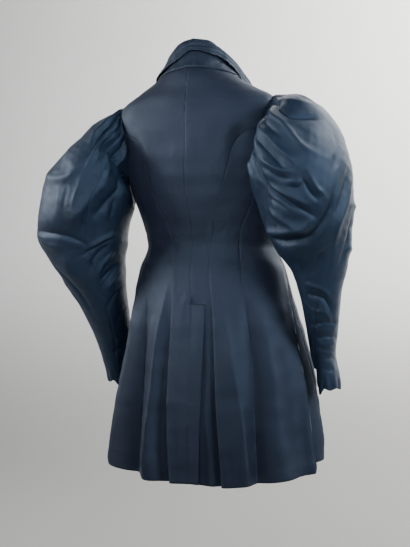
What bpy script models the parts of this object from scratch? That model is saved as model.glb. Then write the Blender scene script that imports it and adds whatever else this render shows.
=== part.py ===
"""Long jacket with leg-of-mutton sleeves, a high turned collar and a pleated skirt.

Metres, +Z up. The front faces -Y and the wearer's right is -X. The origin is the
centre of the neck opening, level with the nape. Every cloth piece is an open
surface at the middle of its cloth, thickened by Solidify.

The body is a stack of levels. A place on it is an angle and a height: the angle
is counted from the centre back, positive towards the wearer's left.
A sleeve is a row of rings. A place on it is an angle round the ring, 0 at the
outer side, positive at the back, and a station, 0 at the armhole and 1 at the cuff.
"""

import math

import bmesh
import bpy
import mathutils
import numpy as np

# ------------------------------------------------------------ named sizes
CLOTH = 0.0020  # wall of every piece
SEAM_GAP = 0.00022  # each side of a seam
RIDGE_GAP = 0.0009  # each side of the shoulder seam, which runs along a ridge
FOLD_GAP = 0.0009  # added each side of a skirt seam that the folds bend sharply
BUTT = 0.0018  # a piece that leaves another at an angle starts this far from its edge
SLEEVE_OFF = 0.0024  # the sleeve's first ring stands this far off the body
LAP_LIFT = 0.0016  # half the distance between two lapped layers, middle to middle
LAPEL_LIFT = 0.0040  # lapel above the front it lies on
FRONT_LAP = 0.015  # each front passes the centre front by this much
BREAK_Z = -0.208  # where the lapels stop turning back
WAIST_Z = -0.356
HEM_Z = -0.838
VENT_TOP = -0.470
VENT_WIDTH_TOP, VENT_WIDTH_HEM = 0.030, 0.020
ARM_TOP, ARM_LOW = -0.052, -0.216
ARM_BACK, ARM_FRONT = 0.050, 0.056
SLEEVE_CLEAR = 0.008
BUTTON_RADIUS, BUTTON_HEIGHT = 0.0085, 0.0055
BUTTON_Z = (-0.228, -0.272, -0.316, -0.360)
SEAM1_ANGLE, SEAM2_ANGLE, SEAM3_ANGLE = 78.0, 120.0, 192.0  # where seams meet the armhole
SLEEVE_BACK_SEAM, SLEEVE_FRONT_SEAM = 120.0, 230.0
CUFF_SLIT = 0.90  # station where the back seam of the sleeve opens

# ------------------------------------------------------------ tables
# One row a level: height, half width, back and front of the body,
# sideways shift, squareness of the outline.
LEVELS = [
    (0.030, 0.0600, 0.0560, -0.0300, 0.000, 2.0),
    (0.012, 0.0720, 0.0600, -0.0400, 0.000, 2.0),
    (0.000, 0.0830, 0.0650, -0.0440, 0.000, 2.0),
    (-0.012, 0.0970, 0.0680, -0.0470, 0.000, 2.0),
    (-0.032, 0.1300, 0.0715, -0.0520, 0.000, 2.0),
    (-0.048, 0.1600, 0.0745, -0.0590, 0.000, 2.05),
    (-0.062, 0.1740, 0.0770, -0.0680, 0.000, 2.15),
    (-0.090, 0.1820, 0.0800, -0.0900, 0.000, 2.3),
    (-0.130, 0.1820, 0.0800, -0.1250, 0.000, 2.35),
    (-0.170, 0.1770, 0.0760, -0.1480, 0.000, 2.35),
    (-0.210, 0.1720, 0.0690, -0.1600, 0.000, 2.3),
    (-0.260, 0.1640, 0.0560, -0.1600, -0.003, 2.2),
    (-0.295, 0.1540, 0.0450, -0.1540, -0.005, 2.15),
    (-0.327, 0.1470, 0.0370, -0.1480, -0.007, 2.1),
    (-0.352, 0.1440, 0.0330, -0.1460, -0.008, 2.1),
    (-0.372, 0.1500, 0.0350, -0.1490, -0.009, 2.1),
    (-0.395, 0.1620, 0.0410, -0.1540, -0.009, 2.1),
    (-0.425, 0.1700, 0.0480, -0.1620, -0.009, 2.1),
    (-0.460, 0.1765, 0.0550, -0.1720, -0.009, 2.1),
    (-0.530, 0.1910, 0.0650, -0.1900, -0.009, 2.1),
    (-0.620, 0.2085, 0.0740, -0.2090, -0.009, 2.1),
    (-0.720, 0.2240, 0.0800, -0.2290, -0.006, 2.1),
    (-0.830, 0.2370, 0.0840, -0.2470, -0.003, 2.1),
    (-0.850, 0.2395, 0.0845, -0.2500, -0.002, 2.1),
]

# The jacket sits a little turned: height, angle of the centre back seam.
TURN = [
    (0.02, 0.0),
    (-0.12, 0.0),
    (-0.235, 4.0),
    (-0.374, 6.5),
    (-0.50, 1.5),
    (-0.67, 0.0),
    (-0.85, -3.0),
]

# Angle of each long seam from the centre back, by height below the armhole.
# The skirt hangs a little askew, so the side back seams differ on the two sides.
SIDE_BACK_SEAM = {
    "left": [
        (-0.128, 56.0),
        (-0.154, 46.0),
        (-0.200, 40.5),
        (-0.250, 36.5),
        (-0.306, 30.0),
        (-0.378, 23.5),
        (-0.430, 21.5),
        (-0.500, 19.6),
        (-0.620, 18.6),
        (-0.740, 16.4),
        (-0.850, 13.2),
    ],
    "right": [
        (-0.128, 56.0),
        (-0.154, 46.0),
        (-0.200, 40.5),
        (-0.250, 36.5),
        (-0.306, 30.0),
        (-0.378, 24.0),
        (-0.430, 22.6),
        (-0.500, 22.0),
        (-0.620, 22.3),
        (-0.740, 23.0),
        (-0.850, 23.6),
    ],
}
UNDERARM_BACK_SEAM = [
    (-0.250, 63.0),
    (-0.325, 57.0),
    (-0.378, 55.5),
    (-0.430, 52.0),
    (-0.500, 50.0),
    (-0.670, 47.5),
    (-0.850, 44.0),
]
UNDERARM_FRONT_SEAM = [
    (-0.300, 90.0),
    (-0.360, 94.0),
    (-0.500, 96.0),
    (-0.850, 97.0),
]

# Neckline and hem: angle from the centre back, height.
NECKLINE = [
    (0.0, 0.010),
    (30.0, 0.008),
    (60.0, 0.003),
    (90.0, -0.004),
    (105.0, -0.015),
    (118.0, -0.030),
]
HEM = [
    (0.0, -0.836),
    (20.0, -0.838),
    (45.0, -0.833),
    (75.0, -0.821),
    (100.0, -0.812),
    (195.0, -0.806),
]
# Roll line of the lapel down the front: angle, height.
ROLL_FRONT = [(118.0, -0.030), (124.0, -0.062), (150.0, -0.125), (170.0, -0.178)]
# Outer edge of the lapel: angle, height.
LAPEL_EDGE = [(107.0, -0.082), (118.0, -0.128), (142.0, -0.174), (165.0, -0.194)]

# Folds of the skirt, for each side: angle at the top, angle at the hem,
# half width in degrees, height of the fold at the hem, where it starts.
FOLDS = {
    "left": [
        (31.0, 31.0, 6.0, 0.009, -0.42),
        (51.0, 45.0, 6.5, -0.014, -0.42),
        (64.0, 62.0, 8.0, 0.010, -0.40),
        (82.0, 82.0, 7.0, -0.012, -0.42),
        (98.0, 98.0, 7.0, 0.009, -0.42),
        (118.0, 118.0, 8.0, -0.012, -0.42),
        (136.0, 137.0, 8.0, 0.009, -0.40),
        (156.0, 158.0, 8.0, -0.008, -0.42),
    ],
    "right": [
        (32.0, 34.0, 8.0, 0.008, -0.40),
        (52.0, 44.0, 5.0, -0.010, -0.42),
        (64.0, 60.0, 9.0, 0.007, -0.40),
        (78.0, 75.0, 4.5, 0.011, -0.40),
        (90.0, 85.0, 5.5, -0.020, -0.38),
        (102.0, 98.0, 7.0, 0.010, -0.40),
        (121.0, 118.0, 8.0, -0.011, -0.42),
        (138.0, 138.0, 8.0, 0.009, -0.42),
        (157.0, 158.0, 8.0, -0.007, -0.42),
    ],
}
# The pleat at each side back seam: how far the back's edge stands out or sinks,
# how far the side back's edge does, and how far it still does a little further on.
# On the left the back lies over the pleat, on the right the side back does.
PLEATS = {"left": (0.004, -0.010, -0.006), "right": (-0.009, 0.007, 0.003)}
PLEAT_START = -0.372

# Sleeves: station, distance out, distance back, height, tilt of the ring in
# degrees, half size outwards, half size front to back, and how far the ring's
# back part falls in over the back of the jacket.
SLEEVES = {
    "right": [
        (0.00, 0.170, -0.004, -0.134, 84, 0.081, 0.053, 0.000),
        (0.06, 0.190, 0.012, -0.128, 72, 0.078, 0.080, 0.020),
        (0.14, 0.203, 0.032, -0.141, 57, 0.084, 0.102, 0.034),
        (0.24, 0.219, 0.040, -0.168, 32, 0.093, 0.114, 0.024),
        (0.34, 0.230, 0.042, -0.216, 12, 0.098, 0.117, 0.004),
        (0.44, 0.2385, 0.038, -0.268, 4, 0.093, 0.110, 0.000),
        (0.53, 0.242, 0.028, -0.318, 0, 0.086, 0.098, 0.000),
        (0.60, 0.247, 0.016, -0.360, 0, 0.074, 0.080, 0.000),
        (0.68, 0.260, 0.000, -0.415, 0, 0.052, 0.056, 0.000),
        (0.78, 0.263, -0.015, -0.480, 0, 0.041, 0.046, 0.000),
        (0.90, 0.262, -0.040, -0.565, 0, 0.030, 0.040, 0.000),
        (1.00, 0.268, -0.060, -0.648, 0, 0.021, 0.036, 0.000),
    ],
    "left": [
        (0.00, 0.170, -0.004, -0.134, 84, 0.081, 0.053, 0.000),
        (0.06, 0.187, 0.004, -0.138, 70, 0.072, 0.072, 0.004),
        (0.14, 0.204, 0.010, -0.155, 50, 0.070, 0.088, 0.008),
        (0.24, 0.226, 0.014, -0.190, 27, 0.086, 0.100, 0.006),
        (0.30, 0.240, 0.014, -0.214, 18, 0.097, 0.103, 0.004),
        (0.38, 0.256, 0.012, -0.250, 10, 0.102, 0.104, 0.000),
        (0.50, 0.277, 0.002, -0.332, 3, 0.102, 0.094, 0.000),
        (0.57, 0.270, -0.008, -0.378, -3, 0.085, 0.083, 0.000),
        (0.64, 0.258, -0.020, -0.420, -7, 0.068, 0.071, 0.000),
        (0.75, 0.246, -0.045, -0.484, -10, 0.052, 0.056, 0.000),
        (0.88, 0.238, -0.080, -0.574, -10, 0.036, 0.043, 0.000),
        (1.00, 0.238, -0.105, -0.660, -6, 0.021, 0.037, 0.000),
    ],
}

# Collar, a row for each section from the centre back to the front:
# angle of its foot on the neckline, the roll line's x, y, z on the left half,
# then the fall's edge x, y, z on the right half and on the left half.
COLLAR = [
    (0.0, 0.000, 0.030, 0.076, 0.000, 0.050, 0.051, 0.000, 0.050, 0.051),
    (30.0, 0.030, 0.024, 0.070, 0.034, 0.047, 0.045, 0.030, 0.056, 0.035),
    (55.0, 0.052, 0.008, 0.053, 0.062, 0.030, 0.034, 0.060, 0.046, 0.017),
    (78.0, 0.069, -0.012, 0.030, 0.084, 0.010, 0.018, 0.087, 0.026, 0.002),
    (98.0, 0.087, -0.034, 0.004, 0.106, -0.010, -0.004, 0.106, -0.004, -0.008),
    (118.0, 0.100, -0.055, -0.022, 0.128, -0.034, -0.030, 0.126, -0.034, -0.030),
]

# Rows of the body pieces below the armhole, and points round the armhole.
ROWS = (
    -0.117, -0.126, -0.142, -0.168, -0.200, -0.234, -0.268, -0.300, -0.330,
    -0.356, -0.380, -0.406, -0.440, -0.490, -0.560, -0.650, -0.745, -0.838,
)  # fmt: skip
BACK_ARC = (0, 16, 32, 48, 64, 78)
SIDE_BACK_ARC = (78, 92, 106, 120)
UNDERARM_ARC = (120, 138, 156, 174, 192)
FRONT_ARC = (192, 211, 230, 246, 262, 278, 294, 310, 326, 343, 360)
RINGS = (0, 0.03, 0.06, 0.10, 0.15, 0.21, 0.28, 0.36, 0.44, 0.52, 0.60, 0.68, 0.76, 0.84, 0.92, 1.0)


# ------------------------------------------------------------ smooth tables
class Smooth:
    """A smooth curve through rows, which never overshoots them."""

    def __init__(self, pairs):
        pairs = sorted(pairs)
        x = np.array([p[0] for p in pairs], float)
        y = np.array([p[1] for p in pairs], float)
        step = np.diff(y) / np.diff(x)
        slope = np.zeros(len(x))
        slope[0], slope[-1] = step[0], step[-1]
        for i in range(1, len(x) - 1):
            if step[i - 1] * step[i] > 0:
                before, after = x[i] - x[i - 1], x[i + 1] - x[i]
                w1, w2 = 2 * after + before, after + 2 * before
                slope[i] = (w1 + w2) / (w1 / step[i - 1] + w2 / step[i])
        self.x, self.y, self.slope = x, y, slope

    def __call__(self, at):
        at = np.clip(np.asarray(at, float), self.x[0], self.x[-1])
        i = np.clip(np.searchsorted(self.x, at) - 1, 0, len(self.x) - 2)
        h = self.x[i + 1] - self.x[i]
        t = (at - self.x[i]) / h
        return (
            (2 * t**3 - 3 * t**2 + 1) * self.y[i]
            + (t**3 - 2 * t**2 + t) * h * self.slope[i]
            + (3 * t**2 - 2 * t**3) * self.y[i + 1]
            + (t**3 - t**2) * h * self.slope[i + 1]
        )


def columns(rows, of):
    return Smooth([(row[0], row[of]) for row in rows])


HALF, BACK, FRONT, SHIFT, SQUARE = (columns(LEVELS, i) for i in range(1, 6))
TURN_AT = Smooth(TURN)
NECK_AT = Smooth(NECKLINE)
HEM_AT = Smooth(HEM)
SLEEVE_AT = {side: [columns(rows, i) for i in range(1, 8)] for side, rows in SLEEVES.items()}


def ease(t):
    t = np.clip(t, 0, 1)
    return t * t * (3 - 2 * t)


# ------------------------------------------------------------ the body
def body(phi, z):
    """phi counted from the middle of the back, positive to the wearer's left."""
    phi, z = np.radians(np.asarray(phi, float)), np.asarray(z, float)
    depth, middle = (BACK(z) - FRONT(z)) / 2, (BACK(z) + FRONT(z)) / 2
    n = SQUARE(z)
    r = (np.abs(np.sin(phi) / HALF(z)) ** n + np.abs(np.cos(phi) / depth) ** n) ** (-1 / n)
    return np.stack([SHIFT(z) + r * np.sin(phi), middle + r * np.cos(phi), z + 0 * r], -1)


def outward(phi, z):
    """The body's normal, pointing out of it."""
    along = body(phi + 0.5, z) - body(phi - 0.5, z)
    up = body(phi, z + 0.002) - body(phi, z - 0.002)
    n = np.cross(up, along)
    return n / np.linalg.norm(n, axis=-1, keepdims=True)


def grow(z, start):
    return ease((start - z) / (start - HEM_Z)) ** 0.8


def relief(side, phi, z):
    """How far the skirt's folds stand out. phi is counted from the centre back seam."""
    out = 0 * phi * z
    for top, low, wide, high, start in FOLDS[side]:
        down = np.clip((start - z) / (start - HEM_Z), 0, 1)
        middle = top + (low - top) * down
        out = out + high * grow(z, start) * np.exp(-(((phi - middle) / wide) ** 2))
    return out


def armhole(alpha, side):
    """alpha: 0 at the shoulder tip, rising down the back to 180 under the arm and up the front."""
    a = np.radians(np.asarray(alpha, float))
    z = ARM_TOP - (ARM_TOP - ARM_LOW) * (1 - np.cos(a)) / 2
    reach = np.where(np.sin(a) > 0, ARM_BACK, ARM_FRONT)
    y = 0.006 - 0.022 * (ARM_TOP - z) / (ARM_TOP - ARM_LOW) + reach * np.sin(a)
    depth, middle = (BACK(z) - FRONT(z)) / 2, (BACK(z) + FRONT(z)) / 2
    n = SQUARE(z)
    x = HALF(z) * np.maximum(1 - np.abs((y - middle) / depth) ** n, 1e-6) ** (1 / n)
    return np.stack([side * x, y, z], -1)


def armhole_place(alpha):
    """The same place as an angle and a height on the left half."""
    p = armhole(alpha, 1.0)
    z = p[..., 2]
    middle = (BACK(z) + FRONT(z)) / 2
    return np.degrees(np.arctan2(p[..., 0] - SHIFT(z), p[..., 1] - middle)), z


def seam(table, angle):
    """A long seam from the armhole to the hem: its angle and height at each row."""
    start_phi, start_z = armhole_place(float(angle))
    pairs = [(float(start_z), float(start_phi))] + [(z, phi) for z, phi in table]
    line = Smooth(pairs)
    rows = np.array(ROWS)
    move = (start_z - rows[0]) * np.clip(1 - (rows[0] - rows) / 0.16, 0, 1)
    z = rows + move
    below = np.clip((WAIST_Z - z) / (WAIST_Z - HEM_Z), 0, 1)
    z = z + (HEM_AT(line(HEM_Z)) - HEM_Z) * below
    return np.stack([line(z), z], -1)


def centre_line(shoulder, arm):
    """Heights down the centre beside the shoulder rows, the armhole rows and the rows below."""
    top = np.linspace(NECKLINE[0][1], -0.050, shoulder + 1)
    mid = np.linspace(-0.050, ROWS[0], arm + 1)[1:]
    z = np.concatenate([top, mid, ROWS[1:]])
    below = np.clip((WAIST_Z - z) / (WAIST_Z - HEM_Z), 0, 1)
    return z + (HEM[0][1] - HEM_Z) * below


SEAM1 = {side: seam(SIDE_BACK_SEAM[side], SEAM1_ANGLE) for side in ("left", "right")}
SEAM2 = seam(UNDERARM_BACK_SEAM, SEAM2_ANGLE)
SEAM3 = seam(UNDERARM_FRONT_SEAM, SEAM3_ANGLE)


def arc(angles):
    phi, z = armhole_place(np.array(angles, float))
    return np.stack([phi, z], -1)


SHOULDER_ROWS = 4
NECK_POINT = np.array([90.0, NECK_AT(90.0)])
SHOULDER = NECK_POINT + (arc((0,))[0] - NECK_POINT) * np.linspace(0, 1, SHOULDER_ROWS + 1)[:, None]


def coons(left, right, top, bottom, across):
    """A four-sided patch of places. left and right have the same rows; across lists the columns."""
    u = np.array(across)[None, :, None]
    v = np.linspace(0, 1, len(left))[:, None, None]
    top, bottom = top(np.array(across)), bottom(np.array(across))
    sides = (1 - u) * left[:, None] + u * right[:, None]
    ends = (1 - v) * top[None] + v * bottom[None]
    corners = (1 - v) * ((1 - u) * left[0] + u * right[0]) + v * ((1 - u) * left[-1] + u * right[-1])
    return sides + ends - corners


def hem_between(a, b):
    def line(u):
        phi = a[0] + (b[0] - a[0]) * u
        straight = a[1] + (b[1] - a[1]) * u
        bend = HEM_AT(phi) - (HEM_AT(a[0]) + (HEM_AT(b[0]) - HEM_AT(a[0])) * u)
        return np.stack([phi, straight + bend], -1)

    return line


def through(points):
    """A smooth line through places, spread evenly by their angle."""
    points = np.array(points, float)
    t = np.linspace(0, 1, len(points))
    lines = [Smooth(list(zip(t, points[:, i]))) for i in range(2)]
    return lambda u: np.stack([lines[0](u), lines[1](u)], -1)


def neck_between(a, b):
    def line(u):
        phi = a + (b - a) * u
        return np.stack([phi, NECK_AT(phi)], -1)

    return line


def lap(z):
    """The lap past the centre front, in degrees."""
    front = body(180.0, z)
    return np.degrees(FRONT_LAP / np.abs(front[..., 1] - (BACK(z) + FRONT(z)) / 2))


def front_edge(rows_above):
    """The front's free edge: down the roll line, then down past the centre front."""
    ends = ROLL_FRONT + [(180.0 + float(lap(BREAK_Z)), BREAK_Z)]
    t = [0.0, 0.20, 0.55, 0.84, 1.0]
    phi = Smooth(list(zip(t, [e[0] for e in ends])))
    z = Smooth(list(zip(t, [e[1] for e in ends])))
    u = np.linspace(0, 1, rows_above + 1)
    above = np.stack([phi(u), z(u)], -1)
    low = SEAM3[1:, 1].copy()
    low = np.minimum(low, BREAK_Z - 0.012 - 0.010 * np.arange(len(low)))
    low[-1] = HEM_AT(180.0)
    low = np.where(low < WAIST_Z, WAIST_Z + (low - WAIST_Z) * (HEM_AT(180.0) - WAIST_Z) / (low[-1] - WAIST_Z), low)
    return np.concatenate([above, np.stack([180.0 + lap(low), low], -1)])


def place_on_body(side, places, lift=0.0, pleat=None):
    """Places on one half, as points: with the skirt's folds, the turn, and any lift off the cloth."""
    phi, z = places[..., 0], places[..., 1]
    sign = 1.0 if side == "left" else -1.0
    turned = sign * phi + TURN_AT(z)
    points = body(turned, z)
    normal = outward(turned, z)
    out = relief(side, phi, z)
    if pleat is not None:
        out = out + pleat
    level = normal.copy()
    level[..., 2] = 0
    level /= np.linalg.norm(level, axis=-1, keepdims=True)
    return points + out[..., None] * level + np.asarray(lift)[..., None] * normal


def drawn_in(grid, edges="lrtb", by=SEAM_GAP, ridge="", folds=0.0, first=0.0):
    """Draws a grid's edges in, square to each edge, to leave the seam gaps."""
    moved = grid.copy()
    shoulder = (np.arange(len(grid)) <= SHOULDER_ROWS)[:, None].astype(float)
    ridge_l, ridge_r = shoulder * ("l" in ridge), shoulder * ("r" in ridge)
    folds_l = folds * grow(grid[:, 0, 2], -0.40)[:, None]
    folds_r = folds * grow(grid[:, -1, 2], -0.40)[:, None]
    for edge in edges:
        line, inner = {
            "l": (grid[:, 0], grid[:, 1]),
            "r": (grid[:, -1], grid[:, -2]),
            "t": (grid[0], grid[1]),
            "b": (grid[-1], grid[-2]),
        }[edge]
        along = np.gradient(line, axis=0)
        along /= np.linalg.norm(along, axis=-1, keepdims=True)
        inward = inner - line
        inward -= (inward * along).sum(-1, keepdims=True) * along
        inward /= np.linalg.norm(inward, axis=-1, keepdims=True)
        if edge == "l":
            moved[:, 0] += (RIDGE_GAP * ridge_l + by * (1 - ridge_l) + folds_l + first) * inward
        elif edge == "r":
            moved[:, -1] += (RIDGE_GAP * ridge_r + by * (1 - ridge_r) + folds_r) * inward
        elif edge == "t":
            moved[0] += by * inward
        else:
            moved[-1] += by * inward
    return moved


# ------------------------------------------------------------ the body pieces
def pleat_of_back(side, phi, z, seam_phi):
    near = ease(1 - (seam_phi - phi) / 9.0)
    return PLEATS[side][0] * grow(z, PLEAT_START) * near


def back(side):
    left = np.stack([0 * centre_line(SHOULDER_ROWS, 5), centre_line(SHOULDER_ROWS, 5)], -1)
    long_seam = SEAM1[side]
    right = np.concatenate([SHOULDER, arc(BACK_ARC)[1:], long_seam[1:]])
    places = coons(left, right, neck_between(0.0, 90.0), hem_between(left[-1], right[-1]), (0, 0.25, 0.5, 0.78, 1))
    phi, z = places[..., 0], places[..., 1]
    edge = Smooth([(float(h), float(a)) for a, h in long_seam])(z)
    pleat = pleat_of_back(side, phi, z, edge)
    # Below the vent's top the wearer's left back laps over the right one.
    lap_z = ease((VENT_TOP + 0.030 - z) / 0.030)
    lap_phi = ease(1 - (phi - 10.0) / 8.0)
    lift = (1 if side == "left" else -1) * LAP_LIFT * lap_z * lap_phi
    grid = drawn_in(place_on_body(side, places, lift, pleat), ridge="r")
    if side == "right":
        return grid, None
    # The lap is three more columns on the rows below the vent's top.
    first = int(np.argmax(left[:, 1] <= VENT_TOP))
    z = left[first:, 1]
    down = (z[0] - z) / (z[0] - z[-1])
    width = VENT_WIDTH_TOP + (VENT_WIDTH_HEM - VENT_WIDTH_TOP) * down
    radius = body(0.0, z)[..., 1] - (BACK(z) + FRONT(z)) / 2
    angle = np.degrees(width / radius)
    more = []
    for part in (1.0, 0.5):
        extra = np.stack([-angle * part, z + 0 * part], -1)
        shown = place_on_body("left", extra, LAP_LIFT + 0 * z)
        more.append(shown)
    flap = np.stack(more, 1)
    return grid, (first, flap)


def side_back(side):
    places = coons(
        SEAM1[side],
        SEAM2,
        through(arc(SIDE_BACK_ARC)),
        hem_between(SEAM1[side][-1], SEAM2[-1]),
        (0, 0.055, 0.30, 0.54, 0.77, 1),
    )
    phi, z = places[..., 0], places[..., 1]
    p = grow(z, PLEAT_START)
    pleat = np.zeros_like(phi)
    for column, stand in enumerate(PLEATS[side]):
        pleat[:, column] = stand * p[:, column]
    riser = 0.0016 * ease(p[:, :1] / 0.25)
    return drawn_in(place_on_body(side, places, 0 * z, pleat), folds=0.3 * FOLD_GAP, first=riser)


def underarm(side):
    places = coons(
        SEAM2,
        SEAM3,
        through(arc(UNDERARM_ARC)),
        hem_between(SEAM2[-1], SEAM3[-1]),
        (0, 0.16, 0.33, 0.5, 0.67, 0.84, 1),
    )
    return drawn_in(place_on_body(side, places, 0 * places[..., 0]), folds=FOLD_GAP)


def front(side):
    arm = arc(FRONT_ARC)[::-1]
    outer = np.concatenate([SHOULDER, arm[1:], SEAM3[1:]])
    inner = front_edge(SHOULDER_ROWS + len(FRONT_ARC) - 1)
    places = coons(
        outer,
        inner,
        neck_between(90.0, 118.0),
        hem_between(outer[-1], inner[-1]),
        (0, 0.12, 0.25, 0.38, 0.51, 0.64, 0.77, 0.89, 1),
    )
    phi, z = places[..., 0], places[..., 1]
    near = ease((phi - 152.0) / 16.0) * ease((-0.165 - z) / 0.030)
    lift = (1 if side == "right" else -1) * LAP_LIFT * near
    return drawn_in(place_on_body(side, places, lift), ridge="l", folds=FOLD_GAP)


# ------------------------------------------------------------ the sleeves
def sleeve(side, psi, s):
    sign = 1.0 if side == "left" else -1.0
    psi, s = np.broadcast_arrays(np.asarray(psi, float), np.asarray(s, float))
    out, fore, high, tilt, half_out, half_fore, lean = (line(s) for line in SLEEVE_AT[side])
    p, t = np.radians(psi), np.radians(tilt)
    e = half_out * np.cos(p)
    out = out - lean * np.maximum(np.sin(p), 0) ** 2
    points = np.stack([sign * (out + e * np.cos(t)), fore + half_fore * np.sin(p), high + e * np.sin(t)], -1)
    near = ease(1 - s / 0.10)[..., None]
    points = points * (1 - near) + armhole(psi, sign) * near
    # The sleeve stays outside the body.
    z = points[..., 2]
    depth, middle = (BACK(z) - FRONT(z)) / 2, (BACK(z) + FRONT(z)) / 2
    n = SQUARE(z)
    dx, dy = points[..., 0] - SHIFT(z), points[..., 1] - middle
    r = np.maximum(np.hypot(dx, dy), 1e-6)
    wall = (np.abs(dx / r / HALF(z)) ** n + np.abs(dy / r / depth) ** n) ** (-1 / n)
    clear = (SLEEVE_CLEAR + 0.012 * grow(z, -0.40)) * np.clip(s / 0.08, 0, 1)
    wide = np.where(r < wall + clear, (wall + clear) / r, 1.0)
    return np.stack([SHIFT(z) + dx * wide, middle + dy * wide, z], -1)


def sleeve_piece(side, angles):
    s, psi = np.meshgrid(RINGS, angles, indexing="ij")
    grid = sleeve(side, psi, s)
    phi, z = armhole_place(np.array(angles, float))
    normal = outward(phi, z)
    if side == "right":
        normal[:, 0] = -normal[:, 0]
    grid[0] += SLEEVE_OFF * normal
    # The cuff's slit at the back seam opens a little towards the hem.
    moved = drawn_in(grid, "lr", by=2 * SEAM_GAP)
    slit = 0.0016 * np.clip((np.array(RINGS) - CUFF_SLIT) / (1 - CUFF_SLIT), 0, 1)[:, None]
    column = 0 if angles[0] == SLEEVE_BACK_SEAM else -1
    step = moved[:, 1 if column == 0 else -2] - moved[:, column]
    moved[:, column] += slit * step / np.linalg.norm(step, axis=-1, keepdims=True)
    return moved


TOP_ANGLES = [a - 360 for a in FRONT_ARC[2:-1]] + list(BACK_ARC) + list(SIDE_BACK_ARC[1:])
UNDER_ANGLES = list(UNDERARM_ARC) + list(FRONT_ARC[1:3])


# ------------------------------------------------------------ collar and lapels
def collar_lines(count):
    """Foot, roll line and fall's edge, from the wearer's right round the back to the left."""
    t = np.linspace(0, 1, len(COLLAR))
    lines = [Smooth(list(zip(t, [row[i] for row in COLLAR]))) for i in range(10)]
    u = np.linspace(-1, 1, count)
    a, sign = np.abs(u), np.sign(u)
    foot_phi = lines[0](a)
    foot = body(sign * foot_phi, NECK_AT(foot_phi))
    foot = foot + 0.0014 * outward(sign * foot_phi, NECK_AT(foot_phi))
    roll = np.stack([sign * lines[1](a), lines[2](a), lines[3](a)], -1)
    right = np.stack([sign * lines[4](a), lines[5](a), lines[6](a)], -1)
    left = np.stack([sign * lines[7](a), lines[8](a), lines[9](a)], -1)
    mix = ease((u + 0.25) / 0.5)[:, None]
    return foot, roll, right * (1 - mix) + left * mix


def collar_stand():
    foot, roll, _ = collar_lines(21)
    v = np.array([0, 0.34, 0.68, 1.0])[:, None, None]
    grid = foot[None] * (1 - v) + roll[None] * v
    toward = grid[1] - grid[0]
    grid[0] += BUTT * toward / np.linalg.norm(toward, axis=-1, keepdims=True)
    return grid


def collar_fall():
    _, roll, edge = collar_lines(21)
    level = roll - np.array([0.0, -0.020, 0.0])
    level[:, 2] = 0
    level /= np.linalg.norm(level, axis=-1, keepdims=True)
    first = roll + 0.0030 * level + np.array([0, 0, 0.0012])
    rows = []
    for v in (0.0, 0.18, 0.42, 0.70, 1.0):
        bulge = 0.0042 * math.sin(math.pi * v**0.7)
        rows.append(first * (1 - v) + edge * v + bulge * (0.8 * level + np.array([0, 0, 0.6])))
    return np.stack(rows)


def lapel(side):
    count = 9
    ends = ROLL_FRONT + [(180.0 + float(lap(BREAK_Z)), BREAK_Z)]
    t = [0.0, 0.20, 0.55, 0.84, 1.0]
    phi_in = Smooth(list(zip(t, [e[0] for e in ends])))
    z_in = Smooth(list(zip(t, [e[1] for e in ends])))
    t = [0.0, 0.33, 0.72, 1.0]
    phi_out = Smooth(list(zip(t, [e[0] for e in LAPEL_EDGE])))
    z_out = Smooth(list(zip(t, [e[1] for e in LAPEL_EDGE])))
    v = np.linspace(0, 1, count)
    inner = np.stack([phi_in(0.20 + 0.66 * v), z_in(0.20 + 0.66 * v)], -1)
    outer = np.stack([phi_out(v), z_out(v)], -1)
    u = np.array([0, 0.33, 0.67, 1.0])[None, :, None]
    places = inner[:, None] * (1 - u) + outer[:, None] * u
    lift = LAPEL_LIFT + 0 * places[..., 0]
    return place_on_body(side, places, lift)


# ------------------------------------------------------------ making the objects
def material(name, colour, rough):
    made = bpy.data.materials.new(name)
    made.use_nodes = True
    shader = made.node_tree.nodes["Principled BSDF"]
    shader.inputs["Base Color"].default_value = (*colour, 1.0)
    shader.inputs["Roughness"].default_value = rough
    shader.inputs["Metallic"].default_value = 0.0
    made.diffuse_color = (*colour, 1.0)
    return made


def new_collection(name):
    made = bpy.data.collections.new(name)
    bpy.context.scene.collection.children.link(made)
    return made


def cloth(name, grid, flap=None, colour=(0.018, 0.022, 0.030)):
    """One piece of cloth from its grid of points, with Solidify for its wall."""
    rows, cols = grid.shape[:2]
    work = bmesh.new()
    verts = [[work.verts.new(grid[i, j]) for j in range(cols)] for i in range(rows)]
    for i in range(rows - 1):
        for j in range(cols - 1):
            work.faces.new((verts[i][j], verts[i + 1][j], verts[i + 1][j + 1], verts[i][j + 1]))
    if flap is not None:
        first, extra = flap
        more = [[work.verts.new(extra[i, j]) for j in range(extra.shape[1])] for i in range(extra.shape[0])]
        for i in range(len(more) - 1):
            line = [more[i] + [verts[first + i][0]], more[i + 1] + [verts[first + i + 1][0]]]
            for j in range(len(line[0]) - 1):
                work.faces.new((line[0][j], line[1][j], line[1][j + 1], line[0][j + 1]))
    work.normal_update()
    # Normals face away from the middle of the jacket or of the sleeve.
    mesh = bpy.data.meshes.new(name)
    work.to_mesh(mesh)
    work.free()
    mesh.shade_smooth()
    made = bpy.data.objects.new(name, mesh)
    JACKET.objects.link(made)
    made.data.materials.append(material(name, colour, 0.62))
    wall = made.modifiers.new("wall", "SOLIDIFY")
    wall.thickness = CLOTH
    wall.offset = 0.0
    wall.use_rim = True
    wall.use_quality_normals = True
    return made


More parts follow.
